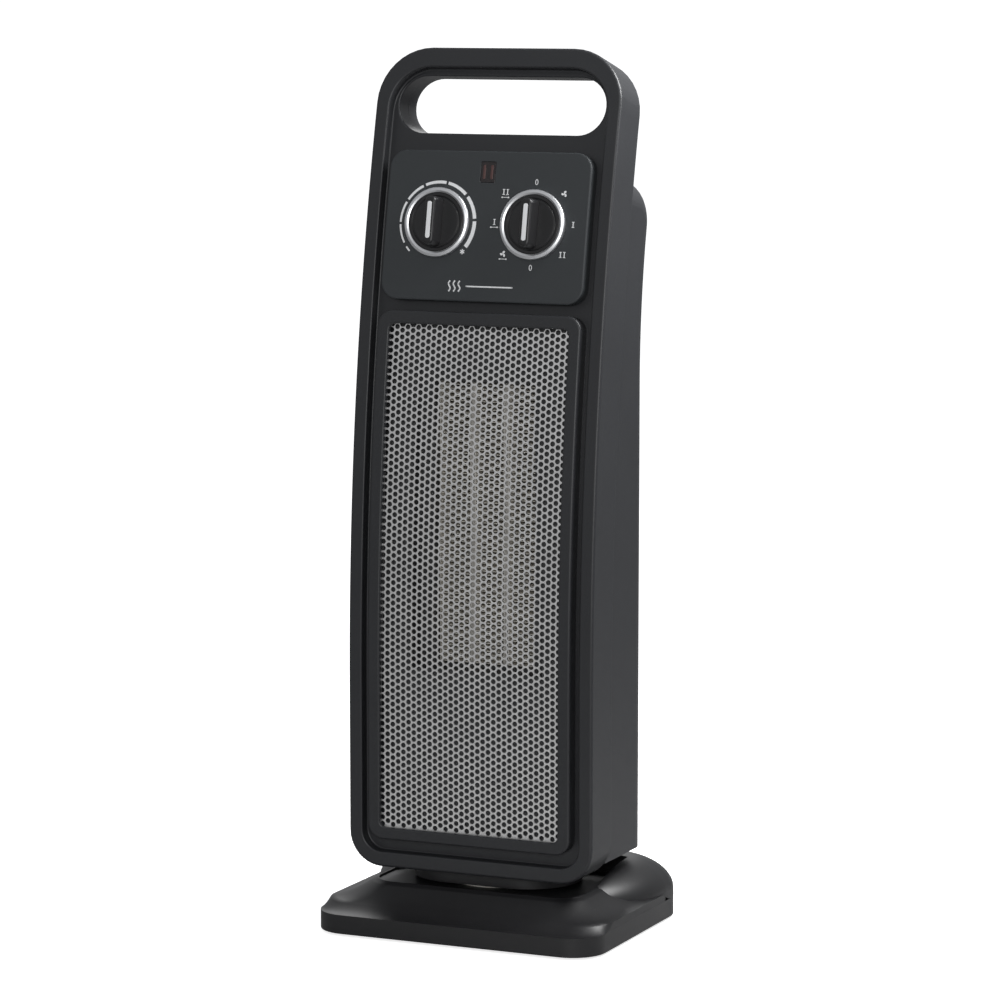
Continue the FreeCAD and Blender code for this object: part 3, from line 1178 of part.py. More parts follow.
def make_tower_screws():
    for index, side in enumerate((-1, 1), start=1):
        across = side * dim.screw_side_low
        low_screw = fuse(f"shell_screw_{index}", [
            rod(f"low_shank_{index}", dim.screw_radius, (dim.joint_low - dim.shank_reach, dim.well_end),
                across, dim.screw_low),
            rod(f"low_head_{index}", dim.screw_head, (dim.well_end, dim.well_end + dim.screw_head_tall),
                across, dim.screw_low)])
        finish(f"shell_screw_{index}", low_screw)
        seat = -dim.lip_depth - dim.head_seat
        high_screw = fuse(f"shell_screw_{index + 2}", [
            post(f"high_shank_{index}", dim.screw_radius, (seat, -dim.floor_back - 1.5)),
            post(f"high_head_{index}", dim.screw_head, (seat - dim.screw_head_tall, seat))])
        finish(f"shell_screw_{index + 2}",
               stand_on_face(high_screw, dim.screw_high, side * dim.screw_side_high))


def make_terminal_block():
    floor = dim.plate_low + dim.plate_thick
    left = dim.hub_bore + dim.block_gap
    back = dim.plate_back - dim.block_gap
    block = box("terminal_body", (left, left + dim.block_wide), (back - dim.block_deep, back),
                (floor, floor + dim.block_tall))
    ways = []
    for way in range(3):
        across = left + dim.block_wide * ((way + 0.5) / 3)
        ways.append(post(f"terminal_way_{way}", dim.screw_radius, (floor + dim.block_tall / 3,
                         floor + 2 * dim.block_tall), across, back - dim.block_deep / 2))
    finish("terminal_block", cut("terminal_block", block, ways))


def write_parts():
    """Recompute, check every object and export each sub-part."""
    doc.recompute()
    for item in doc.Objects:
        if "Invalid" in item.State or "Error" in item.State:
            raise RuntimeError(f"{item.Name} failed: {item.State}")
    os.makedirs("parts", exist_ok=True)
    for name, item in parts.items():
        shape = item.Shape
        if shape.isNull() or not shape.isValid() or not shape.Solids:
            raise RuntimeError(f"{name} has no valid solid")
        shape.exportStep(f"parts/{name}.step")
        print(f"{name:24s} {len(shape.Solids)} solid, {shape.Volume / 1000:9.2f} cm3")


make_base_shell()
make_base_fittings()
make_drive()
make_tip_switch()
make_tower_floor()
make_front_shell()
make_rear_shell()
make_control_panel()
make_pilot()
make_grille()
make_knob("thermostat_knob", -dim.knob_side)
make_knob("selector_knob", dim.knob_side)
make_controls()
make_core()
make_holder()
make_scroll()
make_impeller()
make_fan_motor()
make_tower_screws()
make_terminal_block()
write_parts()
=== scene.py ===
"""The looks of a ceramic tower heater on an oscillating foot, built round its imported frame."""

from __future__ import annotations

import json
import logging
import math
from dataclasses import dataclass, field, replace
from enum import Enum
from typing import Callable, Iterable, Sequence, Union

import bmesh
import bpy
from mathutils import Matrix, Vector

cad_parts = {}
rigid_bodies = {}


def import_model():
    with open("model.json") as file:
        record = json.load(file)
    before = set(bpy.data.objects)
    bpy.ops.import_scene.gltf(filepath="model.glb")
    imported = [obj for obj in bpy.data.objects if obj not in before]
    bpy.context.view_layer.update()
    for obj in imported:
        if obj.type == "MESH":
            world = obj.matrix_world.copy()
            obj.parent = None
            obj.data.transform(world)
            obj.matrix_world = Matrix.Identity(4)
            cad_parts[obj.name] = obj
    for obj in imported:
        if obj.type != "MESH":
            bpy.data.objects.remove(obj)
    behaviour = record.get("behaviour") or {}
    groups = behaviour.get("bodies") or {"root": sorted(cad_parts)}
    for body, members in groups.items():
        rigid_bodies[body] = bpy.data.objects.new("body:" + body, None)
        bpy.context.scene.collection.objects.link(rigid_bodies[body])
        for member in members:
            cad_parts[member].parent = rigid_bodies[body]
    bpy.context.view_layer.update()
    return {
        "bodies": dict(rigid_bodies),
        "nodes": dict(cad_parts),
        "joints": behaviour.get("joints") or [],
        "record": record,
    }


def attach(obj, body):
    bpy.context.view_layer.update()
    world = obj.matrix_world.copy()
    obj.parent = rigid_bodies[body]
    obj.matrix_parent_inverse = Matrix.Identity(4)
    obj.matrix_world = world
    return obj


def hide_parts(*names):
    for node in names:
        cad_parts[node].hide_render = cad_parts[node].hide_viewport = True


LOG = logging.getLogger("heater")
MM = 0.001
CORNER_STEPS = 10
EDGE_STEPS = 4
SLICE = 7.0
SHARP = math.radians(38.0)

Path = Sequence[tuple[float, float, float]]
Edges = list[bmesh.types.BMEdge]
Mesh = bmesh.types.BMesh
Material = bpy.types.Material


class Body(Enum):
    """The moving bodies that a piece can ride on."""

    FOOT = "foot"
    TOWER = "tower"
    THERMOSTAT = "thermostat_dial"
    SELECTOR = "selector_dial"


# ------------------------------------------------------------------ shader arithmetic


@dataclass(frozen=True)
class Wire:
    """One output of a shader node; arithmetic on it adds Math nodes."""

    graph: "Graph"
    socket: bpy.types.NodeSocket

    def __add__(self, other: Feed) -> Wire:
        """Sum."""
        return self.graph.maths("ADD", self, other)

    __radd__ = __add__

    def __mul__(self, other: Feed) -> Wire:
        """Product."""
        return self.graph.maths("MULTIPLY", self, other)

    __rmul__ = __mul__

    def __sub__(self, other: Feed) -> Wire:
        """Difference."""
        return self.graph.maths("SUBTRACT", self, other)

    def __rsub__(self, other: Feed) -> Wire:
        """Difference, from a number."""
        return self.graph.maths("SUBTRACT", other, self)

    def __gt__(self, other: Feed) -> Wire:
        """One where this is larger, else zero."""
        return self.graph.maths("GREATER_THAN", self, other)

    def power(self, other: Feed) -> Wire:
        """This to a power."""
        return self.graph.maths("POWER", self, other)


Feed = Union[Wire, float, int, tuple]


class Graph:
    """A material under construction, with one Principled shader."""

    def __init__(self, name: str) -> None:
        """Start an empty material.

        Args:
            name: The material's name.
        """
        self.material = bpy.data.materials.new(name)
        self.material.use_nodes = True
        self.tree = self.material.node_tree
        self.tree.nodes.clear()
        output = self.node("ShaderNodeOutputMaterial")
        self.shader = self.node("ShaderNodeBsdfPrincipled")
        self.tree.links.new(self.shader.outputs["BSDF"], output.inputs["Surface"])

    def node(self, kind: str, settings: dict | None = None, sockets: dict | None = None) -> bpy.types.Node:
        """Add a node.

        Args:
            kind: Blender's node type.
            settings: Attributes set first; "stops" holds a ramp's positions and colours.
            sockets: Values or wires for the inputs, by name or index.

        Returns:
            The new node.
        """
        made = self.tree.nodes.new(kind)
        for key, value in (settings or {}).items():
            if key == "stops":
                ramp = made.color_ramp
                while len(ramp.elements) < len(value):
                    ramp.elements.new(0.5)
                for element, (position, colour) in zip(ramp.elements, value):
                    element.position = position
                    element.color = colour
            else:
                setattr(made, key, value)
        for key, value in (sockets or {}).items():
            self.feed(made.inputs[key], value)
        return made

    def feed(self, socket: bpy.types.NodeSocket, value: Feed) -> None:
        """Link a wire to a socket, or set the socket's own value."""
        if isinstance(value, Wire):
            self.tree.links.new(value.socket, socket)
        else:
            socket.default_value = value

    def wire(self, node: bpy.types.Node, output: str | int = 0) -> Wire:
        """One output of a node as a wire."""
        return Wire(self, node.outputs[output])

    def maths(self, operation: str, first: Feed, second: Feed) -> Wire:
        """A Math node on two values."""
        return self.wire(self.node("ShaderNodeMath", {"operation": operation}, {0: first, 1: second}))

    def place(self, stretch: tuple[float, float, float] = (1.0, 1.0, 1.0)) -> Wire:
        """Object coordinates, stretched along each axis."""
        coordinates = self.wire(self.node("ShaderNodeTexCoord"), "Object")
        mapping = self.node("ShaderNodeMapping", None, {"Vector": coordinates, "Scale": stretch})
        return self.wire(mapping)

    def noise(self, scale: float, detail: float = 3.0, roughness: float = 0.5,
              stretch: tuple[float, float, float] = (1.0, 1.0, 1.0)) -> Wire:
        """Noise between 0 and 1, with its scale in cells a metre."""
        made = self.node("ShaderNodeTexNoise", None, {
            "Vector": self.place(stretch), "Scale": scale, "Detail": detail, "Roughness": roughness})
        return self.wire(made, 0)

    def blend(self, factor: Feed, first: tuple, second: tuple) -> Wire:
        """A colour between two, by a factor."""
        mix = self.node("ShaderNodeMix", {"data_type": "RGBA"}, {0: factor, 6: first, 7: second})
        return self.wire(mix, 2)

    def bump(self, height: Feed, depth: float, after: Wire | None = None) -> Wire:
        """A bumped normal.

        Args:
            height: The height between 0 and 1.
            depth: What 1 is worth, in metres.
            after: A normal to add to.

        Returns:
            The normal.
        """
        sockets = {"Height": height, "Distance": depth, "Strength": 1.0}
        if after is not None:
            sockets["Normal"] = after
        return self.wire(self.node("ShaderNodeBump", None, sockets))

    def dress(self, **sockets: Feed) -> Material:
        """Feed the Principled shader; underscores in names stand for spaces."""
        for key, value in sockets.items():
            self.feed(self.shader.inputs[key.replace("_", " ")], value)
        return self.material


def grey(level: float) -> tuple[float, float, float, float]:
    """A neutral colour."""
    return (level, level, level, 1.0)


def shade(colour: tuple, factor: float) -> tuple[float, float, float, float]:
    """A colour made lighter or darker."""
    return (colour[0] * factor, colour[1] * factor, colour[2] * factor, 1.0)


# ------------------------------------------------------------------ finishes


@dataclass(frozen=True)
class Moulded:
    """Moulded plastic: a fine spark-eroded grain, soft flow mottling and handling marks."""

    name: str
    colour: tuple[float, float, float]
    roughness: float
    grain: float = 1900.0
    grain_depth: float = 0.00003
    mottle: float = 0.12
    specular: float = 0.5

    def material(self) -> Material:
        """Build the material."""
        graph = Graph(self.name)
        grain = graph.noise(self.grain, 2.0, 0.6)
        flow = graph.noise(22.0, 4.0, 0.55)
        wipe = graph.noise(60.0, 3.0, 0.6, (1.0, 1.0, 0.25))
        colour = graph.blend(flow, shade(self.colour, 1.0 - self.mottle),
                             shade(self.colour, 1.0 + self.mottle))
        rough = self.roughness - 0.05 + 0.06 * flow + 0.04 * wipe + 0.02 * grain
        return graph.dress(Base_Color=colour, Roughness=rough, Normal=graph.bump(grain, self.grain_depth),
                           Specular_IOR_Level=self.specular)


@dataclass(frozen=True)
class Metal:
    """Bare or plated metal with fine marks drawn out along one axis."""

    name: str
    colour: tuple[float, float, float]
    roughness: float
    drawn: tuple[float, float, float] = (1.0, 1.0, 1.0)
    depth: float = 0.00001

    def material(self) -> Material:
        """Build the material."""
        graph = Graph(self.name)
        lines = graph.noise(2600.0, 3.0, 0.6, self.drawn)
        cloud = graph.noise(90.0, 3.0, 0.5)
        colour = graph.blend(cloud, shade(self.colour, 0.9), shade(self.colour, 1.06))
        rough = self.roughness - 0.06 + 0.08 * cloud + 0.06 * lines
        return graph.dress(Base_Color=colour, Metallic=1.0, Roughness=rough,
                           Normal=graph.bump(lines, self.depth))


@dataclass(frozen=True)
class Laminated:
    """Varnished steel sheets stacked along Z."""

    name: str = "varnished_laminations"
    sheet: float = 0.0005

    def material(self) -> Material:
        """Build the material."""
        graph = Graph(self.name)
        wave = graph.node("ShaderNodeTexWave", {"bands_direction": "Z", "wave_profile": "SAW"}, {
            "Vector": graph.place(), "Scale": 1.0 / self.sheet / math.tau, "Distortion": 0.3})
        layers = graph.wire(wave, 1)
        colour = graph.blend(layers, (0.05, 0.052, 0.06, 1.0), (0.16, 0.16, 0.17, 1.0))
        return graph.dress(Base_Color=colour, Metallic=0.6, Roughness=0.45,
                           Normal=graph.bump(layers, 0.00008))


@dataclass(frozen=True)
class Wound:
    """Enamelled copper wire wound round X, seen as close ridges, with painted shade in the grooves between
    turns and a painted highlight on each turn's crest.
    """

    name: str = "copper_winding"
    wire: float = 0.0004

    def material(self) -> Material:
        """Build the material."""
        graph = Graph(self.name)
        wave = graph.node("ShaderNodeTexWave", {"bands_direction": "X"}, {
            "Vector": graph.place(), "Scale": 1.0 / self.wire / math.tau, "Distortion": 0.6})
        ridges = graph.wire(wave, 1)
        # painted shade and highlight: the copper colour is darker in the grooves between turns and brighter
        # on their crests
        colour = graph.blend(ridges, (0.22, 0.05, 0.02, 1.0), (0.62, 0.22, 0.08, 1.0))
        return graph.dress(Base_Color=colour, Metallic=0.7, Roughness=0.3,
                           Normal=graph.bump(ridges, 0.0002))


@dataclass(frozen=True)
class Fired:
    """Pale ceramic with fine pores."""

    name: str = "heating_ceramic"

    def material(self) -> Material:
        """Build the material."""
        graph = Graph(self.name)
        pores = graph.noise(1500.0, 4.0, 0.7)
        colour = graph.blend(pores, (0.42, 0.40, 0.37, 1.0), (0.62, 0.60, 0.56, 1.0))
        return graph.dress(Base_Color=colour, Roughness=0.7, Normal=graph.bump(pores, 0.00006))


@dataclass(frozen=True)
class Tinted:
    """Dark tinted plastic that lets a little light through."""

    name: str
    colour: tuple[float, float, float]
    clear: float
    roughness: float = 0.18

    def material(self) -> Material:
        """Build the material."""
        graph = Graph(self.name)
        cloud = graph.noise(500.0, 2.0)
        return graph.dress(Base_Color=graph.blend(cloud, shade(self.colour, 0.85), shade(self.colour, 1.1)),
                           Roughness=self.roughness + 0.04 * cloud, Transmission_Weight=self.clear, IOR=1.49)


@dataclass(frozen=True)
class Inked:
    """Pad-printed ink: nearly flat, with a fine pinholed edge to its gloss."""

    name: str = "white_print"
    colour: tuple[float, float, float] = (0.83, 0.84, 0.85)

    def material(self) -> Material:
        """Build the material."""
        graph = Graph(self.name)
        speckle = graph.noise(4000.0, 2.0, 0.7)
        return graph.dress(Base_Color=graph.blend(speckle, shade(self.colour, 0.93),
                                                  shade(self.colour, 1.03)),
                           Roughness=0.42 + 0.1 * speckle, Normal=graph.bump(speckle, 0.000008))


@dataclass
class Finishes:
    """Every finish of the heater, built once."""

    shell: Material = field(init=False)
    panel: Material = field(init=False)
    base: Material = field(init=False)
    knob: Material = field(init=False)
    ring: Material = field(init=False)
    sheet: Material = field(init=False)
    inner: Material = field(init=False)
    fins: Material = field(init=False)
    ceramic: Material = field(init=False)
    steel: Material = field(init=False)
    stack: Material = field(init=False)
    winding: Material = field(init=False)
    fan: Material = field(init=False)
    natural: Material = field(init=False)
    rubber: Material = field(init=False)
    lens: Material = field(init=False)
    lens_bar: Material = field(init=False)
    lamp: Material = field(init=False)
    brass: Material = field(init=False)
    ink: Material = field(init=False)

    def __post_init__(self) -> None:
        """Build the materials."""
        self.shell = Moulded("shell_plastic", (0.019, 0.020, 0.0225), 0.42).material()
        self.panel = Moulded("panel_plastic", (0.027, 0.031, 0.034), 0.55, grain=2600.0,
                             mottle=0.05).material()
        self.base = Moulded("base_plastic", (0.0085, 0.0085, 0.0095), 0.40, grain_depth=0.000012).material()
        self.knob = Moulded("knob_plastic", (0.012, 0.012, 0.013), 0.34, grain_depth=0.00001).material()
        self.ring = Metal("satin_ring", (0.80, 0.81, 0.83), 0.38).material()
        self.sheet = Metal("perforated_sheet", (0.84, 0.835, 0.83), 0.38).material()
        self.inner = Moulded("inner_plastic", (0.055, 0.056, 0.058), 0.55, mottle=0.1).material()
        self.fins = Moulded("fin_coat", (0.85, 0.82, 0.76), 0.55, mottle=0.08).material()
        self.ceramic = Fired().material()
        self.steel = Metal("plated_steel", (0.62, 0.63, 0.65), 0.32).material()
        self.stack = Laminated().material()
        self.winding = Wound().material()
        self.fan = Moulded("fan_plastic", (0.014, 0.014, 0.015), 0.45).material()
        self.natural = Moulded("natural_plastic", (0.70, 0.68, 0.62), 0.45, mottle=0.04).material()
        self.rubber = Moulded("foot_rubber", (0.012, 0.012, 0.012), 0.8, grain=1200.0,
                              grain_depth=0.0001).material()
        self.lens = Tinted("lens_red", (0.034, 0.028, 0.029), 0.3).material()
        self.lens_bar = Tinted("lens_bar", (0.11, 0.052, 0.048), 0.25, 0.35).material()
        self.lamp = Tinted("lamp_glass", (0.9, 0.6, 0.5), 0.8).material()
        self.brass = Metal("turned_brass", (0.70, 0.50, 0.22), 0.3).material()
        self.ink = Inked().material()


# ------------------------------------------------------------------ shaping helpers


@dataclass(frozen=True)
class FaceCurve:
    """The tower's side profile: plumb below the bend, then an arc that leans back. Millimetres."""

    front: float = -40.65
    bend: float = 141.3
    radius: float = 1410.6

    def run(self, height: float) -> float:
        """How far a height on the face lies along the face."""
        if height <= self.bend:
            return height
        return self.bend + self.radius * math.asin((height - self.bend) / self.radius)

    def wrap(self, flat: Vector) -> Vector:
        """Carry a point from the flattened face (across, depth, along) to its place."""
        across, depth, along = flat
        if along <= self.bend:
            return Vector((across, self.front + depth, along))
        turn = (along - self.bend) / self.radius
        reach = self.radius - depth
        return Vector((across, self.front + self.radius - reach * math.cos(turn),
                       self.bend + reach * math.sin(turn)))

    def dial(self, across: float, along: float) -> Callable[[Vector], Vector]:
        """Carry points from a dial's own frame, whose Z points out of the face.

        Args:
            across: The dial's axis from the middle.
            along: Where the axis meets the face, along the face.

        Returns:
            The function that carries a point.
        """
        def carry(local: Vector) -> Vector:
            """Place one point square to the face at the dial's axis."""
            turn = max(0.0, (along - self.bend) / self.radius)
            up = Vector((0.0, math.sin(turn), math.cos(turn)))
            out = Vector((0.0, -math.cos(turn), math.sin(turn)))
            foot = self.wrap(Vector((across, 0.0, along)))
            return foot + Vector((local.x, 0.0, 0.0)) + up * local.y + out * local.z
        return carry


FACE = FaceCurve()


@dataclass(frozen=True)
class Outline:
    """A rounded rectangle: half width, two ends and the corner radii at each end, in millimetres."""

    half: float
    low: float
    high: float
    round_low: float
    round_high: float
    across: float = 0.0

    def inset(self, by: float) -> Outline:
        """The outline drawn in by a distance, or grown where it is negative."""
        least = 0.15
        return Outline(self.half - by, self.low + by, self.high - by, max(self.round_low - by, least),
                       max(self.round_high - by, least), self.across)

    def points(self, steps: int = CORNER_STEPS) -> list[Vector]:
        """The outline's points in order, from the middle of its low left corner."""
        left, right = self.across - self.half, self.across + self.half
        places = ((left, self.low), (right, self.low), (right, self.high), (left, self.high))
        scratch = bmesh.new()
        corners = [scratch.verts.new((x, 0.0, z)) for x, z in places]
        scratch.faces.new(corners)
        for pair, radius in ((corners[:2], self.round_low), (corners[2:], self.round_high)):
            bmesh.ops.bevel(scratch, geom=pair, offset=radius, offset_type="OFFSET", segments=steps,
                            profile=0.5, affect="VERTICES", clamp_overlap=False, material=-1)
        scratch.faces.ensure_lookup_table()
        around = [vert.co.copy() for vert in scratch.faces[0].verts]
        scratch.free()
        first = min(range(len(around)), key=lambda index: around[index].x + around[index].z)
        return around[first:] + around[:first]


def soften(path: Path, steps: int = EDGE_STEPS) -> list[tuple[float, float]]:
    """Round the corners of an open path and add a holding point beside each round.

    Args:
        path: Points as (inset, depth, corner radius).
        steps: Segments in each round.

    Returns:
        The rounded path as (inset, depth).
    """
    rounded: list[tuple[float, float]] = []
    for index, (inset, depth, radius) in enumerate(path):
        if radius <= 0.0 or index in (0, len(path) - 1):
            rounded.append((inset, depth))
            continue
        here = Vector((inset, depth))
        back = (Vector(path[index - 1][:2]) - here).normalized()
        onward = (Vector(path[index + 1][:2]) - here).normalized()
        half = back.angle(onward) / 2.0
        run = radius / math.tan(half)
        centre = here + (back + onward).normalized() * (radius / math.sin(half))
        start = (here + back * run - centre).normalized()
        end = (here + onward * run - centre).normalized()
        hold = radius * 0.3
        rounded.append(tuple(here + back * (run + hold)))
        rounded += [tuple(centre + start.slerp(end, step / steps) * radius) for step in range(steps + 1)]
        rounded.append(tuple(here + onward * (run + hold)))
    return rounded


def rings_of(outline: Outline, path: Path) -> list[tuple[Outline, float]]:
    """The rings that carry a softened path round an outline."""
    return [(outline.inset(inset), depth) for inset, depth in soften(path)]


def loop_edges(mesh: Mesh, verts: Sequence[bmesh.types.BMVert]) -> Edges:
    """The edges that join a closed row of points, drawn where they are missing."""
    pairs = zip(verts, [*verts[1:], verts[0]])
    return [mesh.edges.get(pair) or mesh.edges.new(pair) for pair in pairs]


def loft(mesh: Mesh, rings: Sequence[tuple[Outline, float]]) -> list[Edges]:
    """Draw the first ring and extrude it through the others.

    Args:
        mesh: The mesh to add to.
        rings: Outlines with their depths, in order.

    Returns:
        The loops of edges.
    """
    loops: list[Edges] = []
    verts: list[bmesh.types.BMVert] = []
    for outline, depth in rings:
        places = [(point.x, depth, point.z) for point in outline.points()]
        if not loops:
            verts = [mesh.verts.new(place) for place in places]
        else:
            made = bmesh.ops.extrude_edge_only(mesh, edges=loops[-1])["geom"]
            fresh = {item for item in made if isinstance(item, bmesh.types.BMVert)}
            verts = [next(edge.other_vert(vert) for edge in vert.link_edges if edge.other_vert(vert) in fresh)
                     for vert in verts]
            for vert, place in zip(verts, places):
                vert.co = place
        loops.append(loop_edges(mesh, verts))
    return loops


def fill(mesh: Mesh, *loops: Edges) -> None:
    """Close a flat region bounded by one outer loop and any holes."""
    edges = [edge for loop in loops for edge in loop]
    bmesh.ops.triangle_fill(mesh, use_beauty=True, use_dissolve=False, edges=edges, normal=(0.0, -1.0, 0.0))


def capped(mesh: Mesh, rings: Sequence[tuple[Outline, float]]) -> None:
    """Loft through rings and close both ends."""
    loops = loft(mesh, rings)
    fill(mesh, loops[0])
    fill(mesh, loops[-1])


def slice_along(mesh: Mesh, low: float, high: float, step: float = SLICE) -> None:
    """Cut a flattened piece across at even steps, so that it can follow the curve."""
    count = max(1, round((high - low) / step))
    for index in range(1, count):
        level = low + (high - low) * index / count
        everything = list(mesh.verts) + list(mesh.edges) + list(mesh.faces)
        bmesh.ops.bisect_plane(mesh, geom=everything, dist=0.0005, plane_co=(0.0, 0.0, level),
                               plane_no=(0.0, 0.0, 1.0))


def carry(mesh: Mesh, place: Callable[[Vector], Vector]) -> None:
    """Move every point by a function, and turn millimetres into metres."""
    for vert in mesh.verts:
        vert.co = place(vert.co) * MM


def upright(flat: Vector) -> Vector:
    """Lay rings down: across stays, along becomes Y and depth becomes height."""
    return Vector((flat.x, flat.z, flat.y))


def show(name: str, mesh: Mesh, material: Material, body: Body,
         stands_for: Iterable[str] = (), merge: float = 0.00001) -> bpy.types.Object:
    """Turn a finished bmesh into a piece of the heater.

    Args:
        name: The piece's name.
        mesh: Its mesh, already in place and in metres.
        material: Its finish.
        body: The body it rides on.
        stands_for: CAD nodes it takes the place of.
        merge: Distance within which points are merged, in metres.

    Returns:
        The object.
    """
    bmesh.ops.remove_doubles(mesh, verts=mesh.verts, dist=merge)
    bmesh.ops.recalc_face_normals(mesh, faces=mesh.faces)
    data = bpy.data.meshes.new(name)
    mesh.to_mesh(data)
    mesh.free()
    data.shade_smooth()
    data.set_sharp_from_angle(angle=SHARP)
    data.materials.append(material)
    piece = bpy.data.objects.new(name, data)
    bpy.context.scene.collection.objects.link(piece)
    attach(piece, body.value)
    if stands_for:
        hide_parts(*stands_for)
    LOG.info("%s: %d faces", name, len(data.polygons))
    return piece


def paint(frame: dict, material: Material, *nodes: str) -> None:
    """Give CAD nodes a finish."""
    for node in nodes:
        data = frame["nodes"][node].data
        data.materials.clear()
        data.materials.append(material)
        LOG.info("%s: %s", node, material.name)


# ------------------------------------------------------------------ sub-assemblies


@dataclass
class FrontShell:
    """The front shell: outer band, raised rim, sunk floor and the collar of the hand opening."""

    finishes: Finishes
    half: float = 75.4
    low: float = 36.0
    high: float = 501.5
    depth: float = 28.5
    wall: float = 2.2
    round_low: float = 20.0
    round_high: float = 32.0
    floor: float = 6.3
    floor_back: float = 8.8
    rim: Outline = Outline(67.2, 44.8, FACE.run(490.5), 12.0, 24.0)
    hand_centre: float = FACE.run(469.8)
    hand_rise: float = 16.5
    hand_half: float = 63.5
    hand_flat: float = 0.2
    mouth: Outline = Outline(57.5, 58.4, FACE.run(347.7), 4.0, 4.0)
    collar: float = 18.0
    collar_lean: float = math.radians(6.9)
    collar_wall: float = 2.4

    def hand(self, grow: float = 0.0) -> Outline:
        """The hand opening's outline, grown by a distance."""
        rise = self.hand_rise + grow
        return Outline(self.hand_half + grow, self.hand_centre - rise, self.hand_centre + rise,
                       rise - self.hand_flat, rise - self.hand_flat)

    def leaning(self, ring: tuple[Outline, float]) -> tuple[Outline, float]:
        """A collar ring moved up the face, so that the opening falls only slightly to the back."""
        outline, depth = ring
        lift = depth * math.tan(self.collar_lean)
        return replace(outline, low=outline.low + lift, high=outline.high + lift), depth

    def build(self) -> None:
        """Build the shell."""
        mesh = bmesh.new()
        outer = Outline(self.half, self.low, FACE.run(self.high), self.round_low, self.round_high)
        band = rings_of(outer, [(self.wall, self.floor_back, 0.0), (self.wall, self.depth, 0.3),
                                (0.0, self.depth, 0.6), (0.0, 0.0, 1.5), (4.0, 0.0, 0.0)])
        well = rings_of(self.rim, [(-3.0, 0.0, 0.0), (0.0, 0.0, 0.9), (0.0, self.floor, 0.8),
                                   (1.6, self.floor, 0.0)])
        shell = loft(mesh, band + well)
        collar = rings_of(self.hand(), [
            (-1.5, self.floor, 0.0), (0.0, self.floor, 1.0), (0.0, self.collar, 0.4),
            (-self.collar_wall, self.collar, 0.3), (-self.collar_wall, self.floor_back, 0.0)])
        grip = loft(mesh, [self.leaning(ring) for ring in collar])
        opening = loft(mesh, [(self.mouth, self.floor), (self.mouth, self.floor_back)])
        fill(mesh, shell[-1], grip[0], opening[0])
        fill(mesh, shell[0], grip[-1], opening[-1])
        slice_along(mesh, self.low, FACE.run(self.high))
        carry(mesh, FACE.wrap)
        show("front_shell_body", mesh, self.finishes.shell, Body.TOWER, ["front_shell"])


